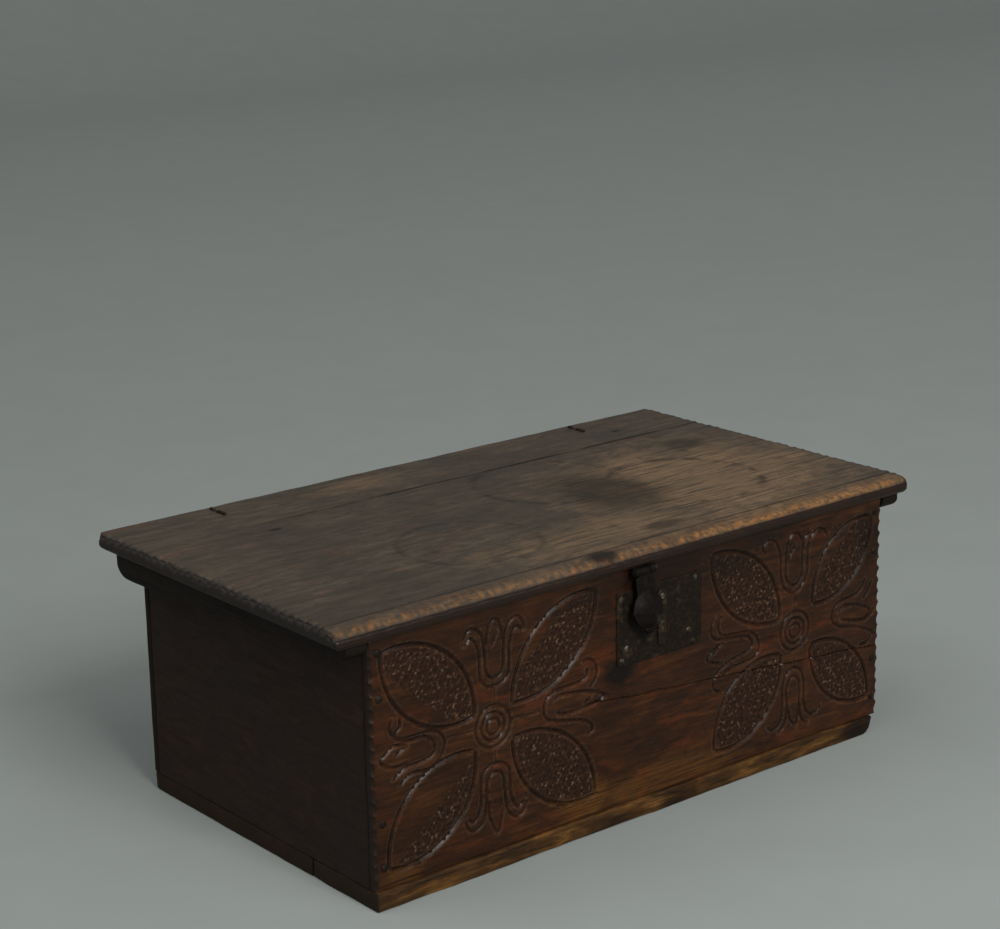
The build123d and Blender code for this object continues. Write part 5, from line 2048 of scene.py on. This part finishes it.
COVER_IRON = IronFinish("cover_iron", (32, 27, 20), (92, 80, 62), (48, 35, 22), 0.5, 0.34, 0.32)
NAIL_IRON = IronFinish("nail_iron", (22, 18, 15), (64, 56, 46), (36, 25, 17), 0.4, 0.42, 0.25)
PLATE_NAIL = IronFinish("plate_nail_iron", (30, 26, 20), (98, 90, 76), (44, 32, 22), 0.6, 0.32, 0.45)
BRIGHT_NAIL = IronFinish("rivet_iron", (34, 30, 24), (136, 128, 112), (46, 34, 24), 0.6, 0.3, 0.5)


class Carcase:
    """The six boards of the box below the lid and their nails."""

    def build(self) -> None:
        """Make every board and every nail of the box."""
        front = CARVED.material()
        long, ends, base = PLAIN_ALONG.material(), PLAIN_ACROSS.material(), BASE.material()
        nail = NAIL_IRON.material()
        CarvedFront("front_board", "box", Side.FRONT, "carved_oak", arris=1, uneven=0.35, seed=2,
                    coarse=60, inner=True).build(front)
        BackBoard("back_board", "box", Side.BACK, "carcase_oak", (4.5, 4), seed=3, inner=True).build(long)
        for node, side, seed in (("left_end", Side.LEFT, 4), ("right_end", Side.RIGHT, 5)):
            Board(node, "box", side, "carcase_oak", arris=1, seed=seed, inner=True).build(ends)
        BaseBoard("bottom_board_front", "box", Side.TOP, "base_oak", (5, 4), arris=2.2, uneven=0.5,
                  seed=6, worn_corner=12).build(base)
        BaseBoard("bottom_board_rear", "box", Side.TOP, "base_oak", (6, 5), arris=2, uneven=0.5,
                  seed=7).build(base)
        heights = (38, 78, 189, 229)
        for node, side, x, y in (("front_nails_left", Side.FRONT, -300.5, -177),
                                 ("front_nails_right", Side.FRONT, 300.5, -177),
                                 ("back_nails_left", Side.BACK, -300.5, 177),
                                 ("back_nails_right", Side.BACK, 300.5, 177)):
            Nails(node, "box", side, [(x, z) for z in heights], y, 42, seed=int(x) % 50).build(nail)


class Lid:
    """The two lid boards, the cleats under them and their nails."""

    def build(self) -> None:
        """Make every board and every nail of the lid."""
        oak, cleat, nail = LID.material(), CLEAT.material(), NAIL_IRON.material()
        dents = ((-150, -60, 6, 0.5), (120, -20, 4, 0.5), (-60, 60, 8, 0.4),
                 (250, 40, 5, 0.6), (20, -110, 5, 0.4))
        MouldedLidBoard("lid_board", "lid", Side.TOP, "lid_oak", (3.4, 3), arris=1.1, uneven=0.5, seed=8,
                        smooth_front=7, corners=(3, 9, 0, 0), dents=dents, inner=True).build(oak)
        LidBoard("lid_rear_board", "lid", Side.TOP, "lid_oak", (3.4, 3), arris=1.1, uneven=0.5, seed=9,
                 chipped=(-1,), inner=True).build(oak)
        for name, side, way in (("left", Side.LEFT, -1), ("right", Side.RIGHT, 1)):
            Cleat(name + "_cleat", "lid", side, "cleat_oak", (4, 2.5), arris=1.4, uneven=0.3,
                  seed=int(11 + way)).build(cleat)
            places = [(way * 319, y) for y in (-140, 7.5, 155)]
            Nails(name + "_cleat_nails", "lid", Side.TOP, places, 256, 32, 3.5, 1.3,
                  seed=int(21 + way)).build(nail)


class Ironwork:
    """The lock, the hasp, the keyhole cover and the hinges."""

    KEPT = ("hasp_strap", "hasp_pin", "hasp_staple", "lock_bolt", "bolt_keeper_left", "bolt_keeper_right",
            "bolt_spring", "ward_bridge")
    KEPT_HINGES = ("left_hinge_upper", "left_hinge_lower", "right_hinge_upper", "right_hinge_lower")
    KEPT_NAILS = ("bottom_nails", "hasp_strap_nails")
    PLATE_NAILS = ((-33, 156), (-26.5, 167), (-33, 214.5), (55, 155), (49.5, 167), (57.5, 216))

    def build(self) -> None:
        """Make the iron pieces, and dress those that keep their CAD shape."""
        iron, nail, bright = IRON.material(), NAIL_IRON.material(), BRIGHT_NAIL.material()
        LockPlate().build(PLATE_IRON.material())
        Hasp().build(iron)
        KeyholeCover().build(COVER_IRON.material())
        Nails("lock_plate_nails", "box", Side.FRONT, self.PLATE_NAILS, -178.2, 12, 3.4, 1.4,
              seed=31).build(PLATE_NAIL.material())
        for names, finish in ((self.KEPT, iron), (self.KEPT_HINGES, HINGE_IRON.material()),
                              (self.KEPT_NAILS, nail), (("keyhole_cover_rivet",), bright)):
            for name in names:
                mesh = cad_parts[name].data
                mesh.materials.clear()
                mesh.materials.append(finish)
                LOG.info("%s: kept, in %s", name, finish.name)


def main() -> None:
    """Build the box piece by piece, and then the studio round it."""
    logging.basicConfig(level=logging.INFO, format="%(message)s")
    for part in (Carcase(), Lid(), Ironwork(), Studio()):
        part.build()
        LOG.info("%s is finished", type(part).__name__)


if __name__ == "__main__":
    main()
